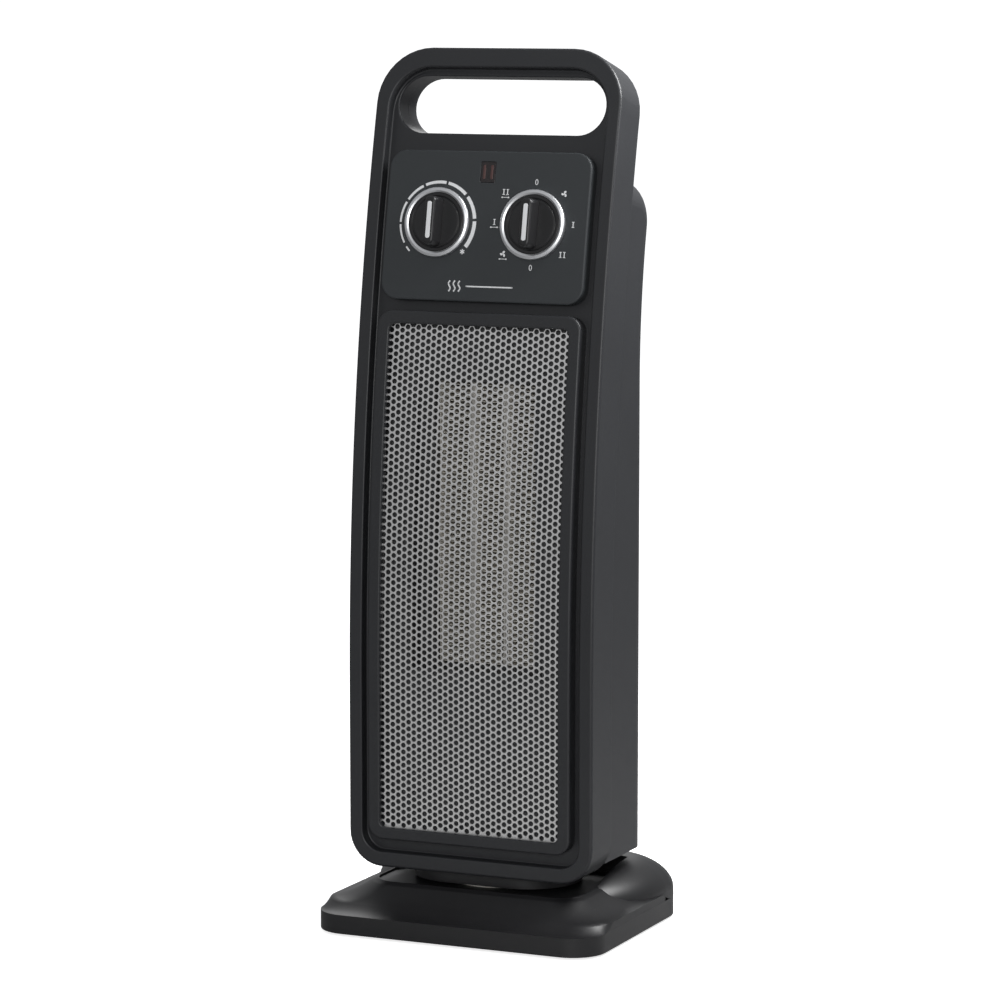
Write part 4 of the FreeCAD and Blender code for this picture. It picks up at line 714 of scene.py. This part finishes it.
@dataclass
class ControlPanel:
    """The control panel, its printed marks and the pilot window."""

    finishes: Finishes
    centre: float = FACE.run(402.05)
    half: float = 62.1
    rise: float = 42.48
    corner: float = 10.0
    proud: float = 1.7
    wall: float = 2.4
    back: float = 6.3
    dial_side: float = 29.4
    dial_along: float = FACE.run(403.5)
    scale_radius: float = 23.7
    ink_thick: float = 0.05
    lens_sunk: float = 0.25
    bar_half: float = 0.75
    bar_side: float = 2.3
    bar_end: float = 2.0
    stroke: float = 1.45
    sign_ring: float = 24.0
    heat_along: float = FACE.run(368.5)
    wave_sway: float = 0.55
    wave_step: float = 0.74
    pilot: Outline = Outline(4.6, FACE.run(432.0) - 6.0, FACE.run(432.0) + 6.0, 0.8, 0.8, -0.9)

    def build(self) -> None:
        """Build the panel and what is on it."""
        self.build_plate()
        self.build_pilot()
        self.build_scale()
        self.build_icons()
        self.build_emblem()

    def build_plate(self) -> None:
        """Build the panel's plate with its skirt and pilot opening."""
        mesh = bmesh.new()
        outline = Outline(self.half, self.centre - self.rise, self.centre + self.rise, self.corner,
                          self.corner)
        inner = self.wall - self.proud
        plate = loft(mesh, rings_of(outline, [
            (self.wall, inner, 0.0), (self.wall, self.back, 0.2), (0.0, self.back, 0.2),
            (0.0, -self.proud, 0.9), (3.0, -self.proud, 0.0)]))
        window = loft(mesh, rings_of(self.pilot, [
            (-0.6, -self.proud, 0.0), (0.0, -self.proud, 0.25), (0.0, inner, 0.0)]))
        fill(mesh, plate[-1], window[0])
        fill(mesh, plate[0], window[-1])
        slice_along(mesh, self.centre - self.rise, self.centre + self.rise)
        carry(mesh, FACE.wrap)
        show("control_panel_plate", mesh, self.finishes.panel, Body.TOWER,
             ["control_panel"])

    def build_pilot(self) -> None:
        """Build the pilot window's tinted lens and its two light bars."""
        mesh = bmesh.new()
        capped(mesh, rings_of(self.pilot.inset(0.1), [
            (0.0, self.wall - self.proud, 0.0), (0.0, -self.proud + self.lens_sunk, 0.3),
            (1.2, -self.proud + self.lens_sunk, 0.0)]))
        carry(mesh, FACE.wrap)
        show("pilot_window", mesh, self.finishes.lens, Body.TOWER, ["pilot_lens"])
        mesh = bmesh.new()
        for side in (-self.bar_side, self.bar_side):
            bar = Outline(self.bar_half, self.pilot.low + self.bar_end, self.pilot.high - self.bar_end,
                          0.5, 0.5, self.pilot.across + side)
            capped(mesh, [(bar, -self.proud + 0.3), (bar, -self.proud + 0.1),
                          (bar.inset(0.12), -self.proud + 0.05)])
        carry(mesh, FACE.wrap)
        show("pilot_bars", mesh, self.finishes.lens_bar, Body.TOWER)

    def print_marks(self, name: str, mesh: Mesh) -> None:
        """Give flat faces the thickness of ink and lay them on the panel."""
        bmesh.ops.recalc_face_normals(mesh, faces=mesh.faces)
        lifted = bmesh.ops.extrude_face_region(mesh, geom=list(mesh.faces), use_keep_orig=True)
        top = [item for item in lifted["geom"] if isinstance(item, bmesh.types.BMVert)]
        bmesh.ops.translate(mesh, verts=top, vec=(0.0, -2.0 * self.ink_thick, 0.0))
        bmesh.ops.translate(mesh, verts=mesh.verts, vec=(0.0, self.ink_thick - self.proud, 0.0))
        carry(mesh, FACE.wrap)
        show(name, mesh, self.finishes.ink, Body.TOWER, merge=0.000001)

    def build_scale(self) -> None:
        """Build the thermostat's scale: arcs that thicken clockwise, and a star past its end."""
        mesh = bmesh.new()
        hub = Vector((-self.dial_side, 0.0, self.dial_along))
        spans = ((-135.5, -127.5), (-121.0, -94.0), (-90.8, -61.0), (-57.0, -27.4), (-23.6, 8.6),
                 (12.0, 44.6), (49.4, 83.4), (87.2, 126.5))
        thin, thick = 0.9, 2.35
        for start, end in spans:
            first = self.polar(hub, self.scale_radius - 1.0, start)
            last = self.polar(hub, self.scale_radius, start)
            edge = mesh.edges.new((mesh.verts.new(first), mesh.verts.new(last)))
            known = set(mesh.verts) - set(edge.verts)
            bmesh.ops.spin(mesh, geom=[edge, *edge.verts], cent=hub, axis=(0.0, 1.0, 0.0),
                           angle=math.radians(end - start), steps=max(3, round((end - start) / 4.0)))
            for vert in set(mesh.verts) - known:
                arm = vert.co - hub
                if arm.length < self.scale_radius - 0.5:
                    turn = math.degrees(math.atan2(arm.x, arm.z))
                    share = (turn - spans[0][0]) / (spans[-1][1] - spans[0][0])
                    vert.co = hub + arm.normalized() * (self.scale_radius - thin - (thick - thin) * share)
        star = self.polar(hub, 23.0, 134.5)
        for turn in (0.0, 60.0, 120.0):
            self.bar(mesh, star, 0.32, self.stroke, turn)
        self.print_marks("thermostat_scale", mesh)

    @staticmethod
    def polar(hub: Vector, radius: float, clock: float) -> Vector:
        """A point round a hub, by its angle clockwise from the top."""
        turn = math.radians(clock)
        return hub + Vector((radius * math.sin(turn), 0.0, radius * math.cos(turn)))

    @staticmethod
    def lay(centre: Vector, wide: float, tall: float, turn: float = 0.0) -> Matrix:
        """The placing of a flat mark on the panel, stretched and turned clockwise."""
        return (Matrix.Translation(centre) @ Matrix.Rotation(math.radians(turn), 4, "Y")
                @ Matrix.Rotation(math.radians(90.0), 4, "X") @ Matrix.Diagonal((wide, tall, 1.0, 1.0)))

    def bar(self, mesh: Mesh, centre: Vector, half: float, rise: float,
            turn: float = 0.0) -> None:
        """Add a flat bar, turned clockwise from upright."""
        made = bmesh.ops.create_grid(mesh, x_segments=1, y_segments=1, size=1.0)["verts"]
        bmesh.ops.transform(mesh, matrix=self.lay(centre, half, rise, turn), verts=made)

    def disc(self, mesh: Mesh, centre: Vector, wide: float, tall: float,
             turn: float = 0.0) -> None:
        """Add a flat filled oval."""
        made = bmesh.ops.create_circle(mesh, cap_ends=True, segments=14, radius=1.0)["verts"]
        bmesh.ops.transform(mesh, matrix=self.lay(centre, wide, tall, turn), verts=made)

    def oval(self, mesh: Mesh, centre: Vector, wide: float, tall: float, line: float) -> None:
        """Add a flat oval ring."""
        made = bmesh.ops.create_circle(mesh, cap_ends=False, segments=20, radius=1.0)["verts"]
        edges = list({edge for vert in made for edge in vert.link_edges})
        inner = bmesh.ops.extrude_edge_only(mesh, edges=edges)["geom"]
        inner = [item for item in inner if isinstance(item, bmesh.types.BMVert)]
        for verts, shrink in ((made, 0.0), (inner, line)):
            bmesh.ops.transform(mesh, matrix=self.lay(centre, wide - shrink, tall - shrink), verts=verts)

    def numeral(self, mesh: Mesh, centre: Vector) -> None:
        """Add one upright stroke with feet, a Roman one."""
        self.bar(mesh, centre, 0.28, self.stroke)
        for end in (-self.stroke, self.stroke):
            self.bar(mesh, centre + Vector((0.0, 0.0, end)), 0.75, 0.2)

    def fan(self, mesh: Mesh, centre: Vector) -> None:
        """Add a small fan of three blades."""
        self.disc(mesh, centre, 0.42, 0.42)
        for turn in (20.0, 140.0, 260.0):
            self.disc(mesh, self.polar(centre, 1.1, turn), 0.62, 0.85, turn + 35.0)

    def sweep_sign(self, mesh: Mesh, centre: Vector) -> None:
        """Add the sign for swinging: a line with a head at each end."""
        self.bar(mesh, centre, 1.9, 0.16)
        for side in (-1.0, 1.0):
            self.disc(mesh, centre + Vector((side * 1.9, 0.0, 0.0)), 0.55, 0.42)

    def build_icons(self) -> None:
        """Build the selector's eight signs."""
        mesh = bmesh.new()
        hub = Vector((self.dial_side, 0.0, self.dial_along))
        ring = self.sign_ring
        for clock in (0.0, 180.0):
            self.oval(mesh, self.polar(hub, ring, clock), 0.95, 1.65, 0.42)
        self.fan(mesh, self.polar(hub, ring + 0.8, 44.3))
        self.fan(mesh, self.polar(hub, ring, -134.1))
        self.sweep_sign(mesh, self.polar(hub, ring, -134.1) + Vector((0.0, 0.0, -2.9)))
        self.numeral(mesh, self.polar(hub, ring, 88.5))
        self.numeral(mesh, self.polar(hub, ring, -87.4))
        self.sweep_sign(mesh, self.polar(hub, ring, -87.4) + Vector((0.0, 0.0, -3.0)))
        for clock, reach in ((130.9, ring + 0.9), (-45.6, ring + 1.8)):
            centre = self.polar(hub, reach, clock)
            for side in (-1.15, 1.15):
                self.numeral(mesh, centre + Vector((side, 0.0, 0.0)))
        self.sweep_sign(mesh, self.polar(hub, ring + 1.8, -45.6) + Vector((0.0, 0.0, -3.0)))
        self.print_marks("selector_signs", mesh)

    def build_emblem(self) -> None:
        """Build the plain heat sign low on the panel: three waves and a rule."""
        mesh = bmesh.new()
        middle = self.heat_along
        for column in range(3):
            across = -19.5 + column * 3.0
            for step in range(8):
                rise = -2.6 + step * self.wave_step
                sway = self.wave_sway * math.sin(step / 7.0 * math.tau)
                slope = self.wave_sway * math.tau / 7.0 * math.cos(step / 7.0 * math.tau)
                lean = math.degrees(math.atan2(slope, self.wave_step))
                self.bar(mesh, Vector((across + sway, 0.0, middle + rise)), 0.42, 0.55, lean)
        self.bar(mesh, Vector((5.0, 0.0, middle)), 14.0, 0.4)
        self.disc(mesh, Vector((-9.0, 0.0, middle)), 0.4, 0.4)
        self.disc(mesh, Vector((19.0, 0.0, middle)), 0.4, 0.4)
        self.print_marks("heat_sign", mesh)


@dataclass
class Grille:
    """The grille: a moulded frame round a curved perforated sheet."""

    finishes: Finishes
    outer: Outline = Outline(62.5, 52.7, FACE.run(354.2), 9.0, 9.0)
    window: Outline = Outline(55.2, 59.4, FACE.run(346.7), 4.0, 4.0)
    proud: float = 2.2
    back: float = 6.3
    ledge: float = 2.5
    sheet_front: float = 0.6
    sheet_thick: float = 0.8
    columns: int = 34
    column_pitch: float = 3.30
    row_pitch: float = 3.87
    hole: float = 1.5

    def build(self) -> None:
        """Build the frame and the sheet."""
        mesh = bmesh.new()
        sides = rings_of(self.outer, [(0.0, self.back, 0.0), (0.0, -self.proud, 1.2),
                                      (3.2, -self.proud, 0.0)])
        throat = rings_of(self.window, [
            (-3.2, -self.proud, 0.0), (0.0, -self.proud, 0.9), (0.0, self.sheet_front, 0.0),
            (-self.ledge, self.sheet_front, 0.0), (-self.ledge, self.back, 0.0)])
        loft(mesh, sides + throat + sides[:1])
        slice_along(mesh, self.outer.low, self.outer.high)
        carry(mesh, FACE.wrap)
        show("grille_frame_body", mesh, self.finishes.shell, Body.TOWER, ["grille_frame"])
        self.build_sheet()

    def cell(self) -> bpy.types.Object:
        """Build two neighbouring cells of the pattern, a hole in a six-sided field each."""
        mesh = bmesh.new()
        half, third = self.row_pitch / 2.0, self.column_pitch / 3.0
        side = (Vector((2 * third, 0.0, 0.0)), Vector((third, 0.0, half)), Vector((-third, 0.0, half)),
                Vector((-2 * third, 0.0, 0.0)), Vector((-third, 0.0, -half)), Vector((third, 0.0, -half)))
        field_points = [point for index in range(6)
                        for point in (side[index], (side[index] + side[(index + 1) % 6]) / 2.0)]
        for across, along in ((0.0, 0.0), (self.column_pitch, half)):
            middle = Vector((across, 0.0, along))
            made = bmesh.ops.create_circle(mesh, segments=12, radius=self.hole)["verts"]
            bmesh.ops.transform(mesh, verts=made, matrix=Matrix.Translation(middle)
                                @ Matrix.Rotation(math.radians(90.0), 4, "X"))
            rim = list({edge for vert in made for edge in vert.link_edges})
            outer = bmesh.ops.extrude_edge_only(mesh, edges=rim)["geom"]
            for vert in (item for item in outer if isinstance(item, bmesh.types.BMVert)):
                arm = (vert.co - middle).normalized()
                vert.co = middle + max(field_points, key=lambda point: arm.dot(point.normalized()))
        data = bpy.data.meshes.new("grille_cell")
        mesh.to_mesh(data)
        mesh.free()
        return bpy.data.objects.new("grille_cell", data)

    def build_sheet(self) -> None:
        """Repeat the cells over the window, join them to the sheet's edge and give it thickness."""
        cell = self.cell()
        bpy.context.scene.collection.objects.link(cell)
        low, high = self.window.low - 1.4, self.window.high + 1.4
        rows = int((high - low - self.row_pitch / 2.0) / self.row_pitch)
        for count, offset in ((self.columns // 2, (2 * self.column_pitch, 0.0, 0.0)),
                              (rows, (0.0, 0.0, self.row_pitch))):
            array = cell.modifiers.new("repeat", "ARRAY")
            array.count = count
            array.use_relative_offset = False
            array.use_constant_offset = True
            array.constant_offset_displace = offset
        view = cell.evaluated_get(bpy.context.evaluated_depsgraph_get())
        mesh = bmesh.new()
        mesh.from_mesh(view.to_mesh())
        bpy.data.objects.remove(cell)
        bmesh.ops.remove_doubles(mesh, verts=mesh.verts, dist=0.01)
        spare = (high - low - (rows + 0.5) * self.row_pitch) / 2.0
        start = Vector((-(self.columns - 1) / 2.0 * self.column_pitch, self.sheet_front,
                        low + spare + self.row_pitch / 2.0))
        bmesh.ops.translate(mesh, verts=mesh.verts, vec=start)
        rim = [edge for edge in mesh.edges if edge.is_boundary and edge.calc_length() > self.hole * 0.65]
        border = loft(mesh, [(self.window.inset(-self.ledge + 0.1), self.sheet_front)])
        fill(mesh, border[0], rim)
        bmesh.ops.recalc_face_normals(mesh, faces=mesh.faces)
        if mesh.faces[0].normal.y > 0.0:
            bmesh.ops.reverse_faces(mesh, faces=mesh.faces)
        carry(mesh, FACE.wrap)
        bmesh.ops.solidify(mesh, geom=list(mesh.faces), thickness=self.sheet_thick * MM)
        show("perforated_sheet", mesh, self.finishes.sheet, Body.TOWER, ["front_grille"],
             merge=0.000002)


@dataclass
class Dial:
    """A control dial: bright ring, black cap, grip blade and a white pointer."""

    finishes: Finishes
    name: str
    body: Body
    across: float
    along: float = FACE.run(403.5)
    low: float = 2.0
    ring_outer: float = 19.7
    ring_inner: float = 16.7
    ring_top: float = 5.0
    cap_top: float = 4.6
    grip_half: float = 3.9
    grip_reach: float = 14.1
    grip_top: float = 14.3
    groove: tuple[float, float, float] = (14.9, 14.4, 13.9)
    groove_deep: float = 0.6
    dish: float = 13.0
    blade_round: float = 3.2
    pointer_half: float = 1.3
    pointer_reach: float = 10.4

    def lathe(self, path: Path) -> Mesh:
        """Turn a softened path of (radius, height) round the dial's axis."""
        mesh = bmesh.new()
        points = [mesh.verts.new((max(radius, 0.0), 0.0, height)) for radius, height in soften(path)]
        edges = [mesh.edges.new(pair) for pair in zip(points, points[1:])]
        bmesh.ops.spin(mesh, geom=[*points, *edges], cent=(0.0, 0.0, 0.0), axis=(0.0, 0.0, 1.0),
                       angle=math.tau, steps=96, use_merge=True)
        bmesh.ops.remove_doubles(mesh, verts=mesh.verts, dist=0.001)
        return mesh

    def build(self) -> None:
        """Build the dial's pieces."""
        place = FACE.dial(self.across, self.along)
        ring = self.lathe([(self.ring_inner + 0.1, self.low, 0.0), (self.ring_outer, self.low, 0.3),
                           (self.ring_outer, self.ring_top - 0.7, 0.9),
                           (self.ring_inner + 1.3, self.ring_top, 0.7),
                           (self.ring_inner + 0.1, self.ring_top - 0.5, 0.2),
                           (self.ring_inner + 0.1, self.low, 0.0)])
        carry(ring, place)
        show(f"{self.name}_ring_turned", ring, self.finishes.ring, self.body,
             [f"{self.name}_ring"])
        top = self.cap_top
        cap = self.lathe([(0.0, self.low, 0.0), (self.ring_inner, self.low, 0.2),
                          (self.ring_inner, top, 0.5), (self.groove[0], top, 0.3),
                          (self.groove[1], top - self.groove_deep, 0.3), (self.groove[2], top, 0.3),
                          (self.dish, top + 0.1, 0.5),
                          (0.0, top - 0.2, 0.0)])
        carry(cap, place)
        show(f"{self.name}_cap", cap, self.finishes.knob, self.body, [self.name])
        self.build_grip(place)

    def build_grip(self, place: Callable[[Vector], Vector]) -> None:
        """Build the grip blade with its swept foot, and the pointer let into it."""
        mesh = bmesh.new()
        blade = Outline(self.grip_half, -self.grip_reach, self.grip_reach, self.blade_round, self.blade_round)
        foot = self.cap_top - 0.4
        capped(mesh, rings_of(blade, [
            (0.0, foot, 0.0), (0.15, foot + 1.6, 1.5), (0.75, self.grip_top, 1.2),
            (2.6, self.grip_top, 0.0)]))
        carry(mesh, lambda flat: place(upright(flat)))
        show(f"{self.name}_grip", mesh, self.finishes.knob, self.body)
        mesh = bmesh.new()
        line = Outline(self.pointer_half, -self.pointer_reach, self.pointer_reach, 1.1, 1.1)
        capped(mesh, rings_of(line, [
            (0.0, self.grip_top - 0.3, 0.0), (0.0, self.grip_top + 0.1, 0.08),
            (0.6, self.grip_top + 0.1, 0.0)]))
        carry(mesh, lambda flat: place(upright(flat)))
        show(f"{self.name}_pointer", mesh, self.finishes.ink, self.body)


@dataclass
class Foot:
    """The foot: a skirt, a hollow slope up to the crest, and the tray that the neck turns in."""

    finishes: Finishes
    half: float = 87.5
    deep: float = 69.0
    corner: float = 20.0
    low: float = 1.5
    skirt_front: float = 12.5
    skirt_side: float = 17.0
    crest_half: float = 64.8
    crest_deep: float = 40.0
    crest_corner: float = 17.0
    crest: float = 27.5
    power: float = 0.6
    wall: float = 3.0
    tray_inset: float = 1.5
    tray: float = 26.3
    levels: int = 26
    hump_half: float = 55.0
    hump_front: float = 42.0
    hump_front_low: float = -35.0
    hump_rear: float = 52.0
    hump_high: float = 36.5
    hump_nose: float = 4.0
    hump_nose_low: float = 75.0
    hump_tail: float = 5.5
    hump_tail_low: float = 20.0
    hump_levels: int = 28

    def section(self, level: float) -> Outline:
        """The slope's outline at a height."""
        rise = (level - self.skirt_front) / (self.crest - self.skirt_front)
        side = max(0.0, (level - self.skirt_side) / (self.crest - self.skirt_side))
        ahead, aside = max(rise, 0.0) ** self.power, side ** self.power
        half = self.half + (self.crest_half - self.half) * aside
        deep = self.deep + (self.crest_deep - self.deep) * ahead
        corner = self.corner + (self.crest_corner - self.corner) * max(rise, 0.0)
        return Outline(half, -deep, deep, corner, corner)

    def build(self) -> None:
        """Build the foot's cover."""
        mesh = bmesh.new()
        skirt = self.section(self.skirt_front)
        rings = rings_of(skirt, [(self.wall, self.low + 4.0, 0.0), (self.wall, self.low, 0.2),
                                 (0.0, self.low, 0.5), (0.0, self.skirt_front - 0.8, 0.0)])
        for step in range(self.levels + 1):
            share = step / self.levels
            level = self.skirt_front + (self.crest - 1.2 - self.skirt_front) * share ** 1.5
            rings.append((self.section(level), level))
        top = self.section(self.crest)
        rings += [(top.inset(0.15), self.crest - 0.6), (top.inset(0.6), self.crest - 0.15)]
        rings += rings_of(top, [(0.9, self.crest, 0.0), (self.tray_inset, self.crest, 0.25),
                                (self.tray_inset, self.tray, 0.4), (self.tray_inset + 4.0, self.tray, 0.0)])
        capped(mesh, rings)
        carry(mesh, upright)
        show("foot_cover", mesh, self.finishes.base, Body.FOOT, ["base_shell"])
        self.build_back()

    def hump_ring(self, step: int) -> tuple[Outline, float]:
        """One level of the raised back, which swells out in a quarter ellipse to the skirt."""
        turn = math.pi / 2 * step / self.hump_levels
        spread = math.cos(turn)
        level = self.skirt_side + (self.hump_high - self.skirt_side) * math.sin(turn)
        outline = Outline(self.hump_half + (self.half - self.hump_half) * spread,
                          self.hump_front - (self.hump_front - self.hump_front_low) * spread,
                          self.hump_rear + (self.deep - self.hump_rear) * spread,
                          self.hump_nose + (self.hump_nose_low - self.hump_nose) * spread,
                          self.hump_tail + (self.hump_tail_low - self.hump_tail) * spread)
        return outline, level

    def hump_piece(self, name: str, planes: Sequence[tuple[Vector, Vector]]) -> None:
        """Build the part of the raised back that lies behind every plane.

        Args:
            name: the piece's name.
            planes: a point and an outward normal for each cutting plane.
        """
        mesh = bmesh.new()
        lowest = self.hump_ring(0)[0]
        rings = [(lowest, self.skirt_front)] + [self.hump_ring(step) for step in range(self.hump_levels + 1)]
        capped(mesh, rings)
        carry(mesh, upright)
        bmesh.ops.recalc_face_normals(mesh, faces=mesh.faces[:])
        for point, normal in planes:
            everything = mesh.verts[:] + mesh.edges[:] + mesh.faces[:]
            cut = bmesh.ops.bisect_plane(mesh, geom=everything, dist=1e-6, plane_co=point, plane_no=normal,
                                         clear_outer=True)
            rim = [item for item in cut["geom_cut"] if isinstance(item, bmesh.types.BMEdge)]
            bmesh.ops.triangle_fill(mesh, edges=rim, use_beauty=True)
        show(name, mesh, self.finishes.base, Body.FOOT)

    def build_back(self) -> None:
        """Build the raised back: the bank behind the recess and a wing at each side of it."""
        behind = Vector((0.0, self.hump_front, 0.0)) * MM
        self.hump_piece("foot_bank", [(behind, Vector((0.0, -1.0, 0.0)))])
        recess = self.crest_half - self.tray_inset
        for side, name in ((-1.0, "foot_wing_left"), (1.0, "foot_wing_right")):
            self.hump_piece(name, [(behind, Vector((0.0, 1.0, 0.0))),
                                   (Vector((side * recess, 0.0, 0.0)) * MM, Vector((-side, 0.0, 0.0)))])


@dataclass
class Inside:
    """Everything that keeps its CAD shape and only takes a finish."""

    finishes: Finishes

    def dress(self, frame: dict) -> None:
        """Give each carried-over node its finish."""
        finishes = self.finishes
        paint(frame, finishes.shell, "rear_shell")
        paint(frame, finishes.base, "tower_floor")
        paint(frame, finishes.inner, "air_duct", "baffle_plate", "heater_holder")
        paint(frame, finishes.fins, "heating_fins_1", "heating_fins_2", "heating_fins_3")
        paint(frame, finishes.ceramic, "ceramic_bar_1", "ceramic_bar_2")
        paint(frame, finishes.stack, "motor_stack")
        paint(frame, finishes.winding, "motor_coil")
        paint(frame, finishes.fan, "impeller", "fan_scroll", "bottom_plate")
        paint(frame, finishes.natural, "selector_body", "terminal_block", "tip_switch", "tip_plunger",
              "glide_ring", "drive_lever", "crank_arm", "crank_roller")
        paint(frame, finishes.rubber, "cord_inlet", *(f"foot_pad_{index}" for index in range(1, 5)))
        paint(frame, finishes.steel, "motor_rotor", "fan_shaft", "drive_motor", "retaining_ring",
              "motor_bracket_low", "motor_bracket_high", "thermostat_body", "thermal_cutout",
              *(f"shell_screw_{index}" for index in range(1, 5)),
              *(f"base_screw_{index}" for index in range(1, 5)))
        paint(frame, finishes.brass, "top_bearing", "thermostat_knob_spindle", "selector_knob_spindle")
        paint(frame, finishes.lamp, "pilot_lamp")


@dataclass
class Studio:
    """A pale floor, soft light and the camera."""

    lens: float = 145.78
    azimuth: float = 24.2
    elevation: float = 7.37
    distance: float = 2303.32
    aim_right: float = 0.91
    aim_up: float = -5.8
    aim_height: float = 251.5
    room: float = 0.40
    room_colour: tuple[float, float, float, float] = (0.97, 0.98, 1.0, 1.0)

    def build(self) -> None:
        """Set up the floor, the lights and the camera."""
        self.build_floor()
        self.build_light()
        self.build_camera()

    def build_floor(self) -> None:
        """Lay a plain pale floor."""
        mesh = bmesh.new()
        bmesh.ops.create_grid(mesh, x_segments=1, y_segments=1, size=30.0)
        data = bpy.data.meshes.new("floor")
        mesh.to_mesh(data)
        mesh.free()
        graph = Graph("pale_floor")
        seen = graph.wire(graph.node("ShaderNodeLightPath"), "Is Camera Ray")
        data.materials.append(graph.dress(
            Base_Color=graph.blend(seen, grey(0.38), grey(0.95)), Roughness=0.9, Specular_IOR_Level=0.0,
            Emission_Color=graph.blend(seen, grey(0.0), grey(1.0)), Emission_Strength=0.75))
        floor = bpy.data.objects.new("floor", data)
        bpy.context.scene.collection.objects.link(floor)

    def build_light(self) -> None:
        """Hang the soft boxes and light the room."""
        world = bpy.data.worlds.new("studio")
        bpy.context.scene.world = world
        world.use_nodes = True
        tree = world.node_tree
        backdrop = tree.nodes["Background"]
        backdrop.inputs["Color"].default_value = grey(1.0)
        backdrop.inputs["Strength"].default_value = 1.05
        room = tree.nodes.new("ShaderNodeBackground")
        room.inputs["Color"].default_value = self.room_colour
        room.inputs["Strength"].default_value = self.room
        path = tree.nodes.new("ShaderNodeLightPath")
        mix = tree.nodes.new("ShaderNodeMixShader")
        tree.links.new(path.outputs["Is Camera Ray"], mix.inputs[0])
        tree.links.new(room.outputs[0], mix.inputs[1])
        tree.links.new(backdrop.outputs[0], mix.inputs[2])
        tree.links.new(mix.outputs[0], tree.nodes["World Output"].inputs["Surface"])
        for name, place, aim, size, power in (
                ("key", (0.42, 0.10, 0.80), (0.06, 0.02, 0.44), 0.30, 8.0),
                ("front", (0.80, -2.10, 0.75), (0.0, 0.0, 0.28), 0.55, 16.0),
                ("rear", (-0.7, 1.4, 1.2), (0.0, 0.0, 0.3), 0.9, 6.0)):
            light = bpy.data.lights.new(name, "AREA")
            light.energy = power
            light.size = size
            lamp = bpy.data.objects.new(name, light)
            facing = (Vector(place) - Vector(aim)).to_track_quat("Z", "Y").to_matrix().to_4x4()
            lamp.matrix_world = Matrix.Translation(place) @ facing
            bpy.context.scene.collection.objects.link(lamp)

    def build_camera(self) -> None:
        """Put the camera in front, to the right and slightly above."""
        turn, lift = math.radians(self.azimuth), math.radians(self.elevation)
        right = Vector((math.cos(turn), math.sin(turn), 0.0))
        back = Vector((math.sin(turn) * math.cos(lift), -math.cos(turn) * math.cos(lift), math.sin(lift)))
        up = back.cross(right)
        aim = Vector((0.0, 0.0, self.aim_height)) + right * self.aim_right + up * self.aim_up
        data = bpy.data.cameras.new("camera")
        data.lens = self.lens
        data.sensor_width = 36.0
        data.clip_end = 100.0
        camera = bpy.data.objects.new("camera", data)
        place = Matrix((right, up, back)).transposed().to_4x4()
        camera.matrix_world = Matrix.Translation((aim + back * self.distance) * MM) @ place
        bpy.context.scene.collection.objects.link(camera)
        bpy.context.scene.camera = camera


def main() -> None:
    """Build the heater's looks round the frame."""
    logging.basicConfig(level=logging.INFO, format="%(name)s: %(message)s")
    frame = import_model()
    bpy.context.scene.view_settings.view_transform = "Standard"
    finishes = Finishes()
    FrontShell(finishes).build()
    ControlPanel(finishes).build()
    Grille(finishes).build()
    Dial(finishes, "thermostat_knob", Body.THERMOSTAT, -29.4).build()
    Dial(finishes, "selector_knob", Body.SELECTOR, 29.4).build()
    Foot(finishes).build()
    Inside(finishes).dress(frame)
    Studio().build()


if __name__ == "__main__":
    main()
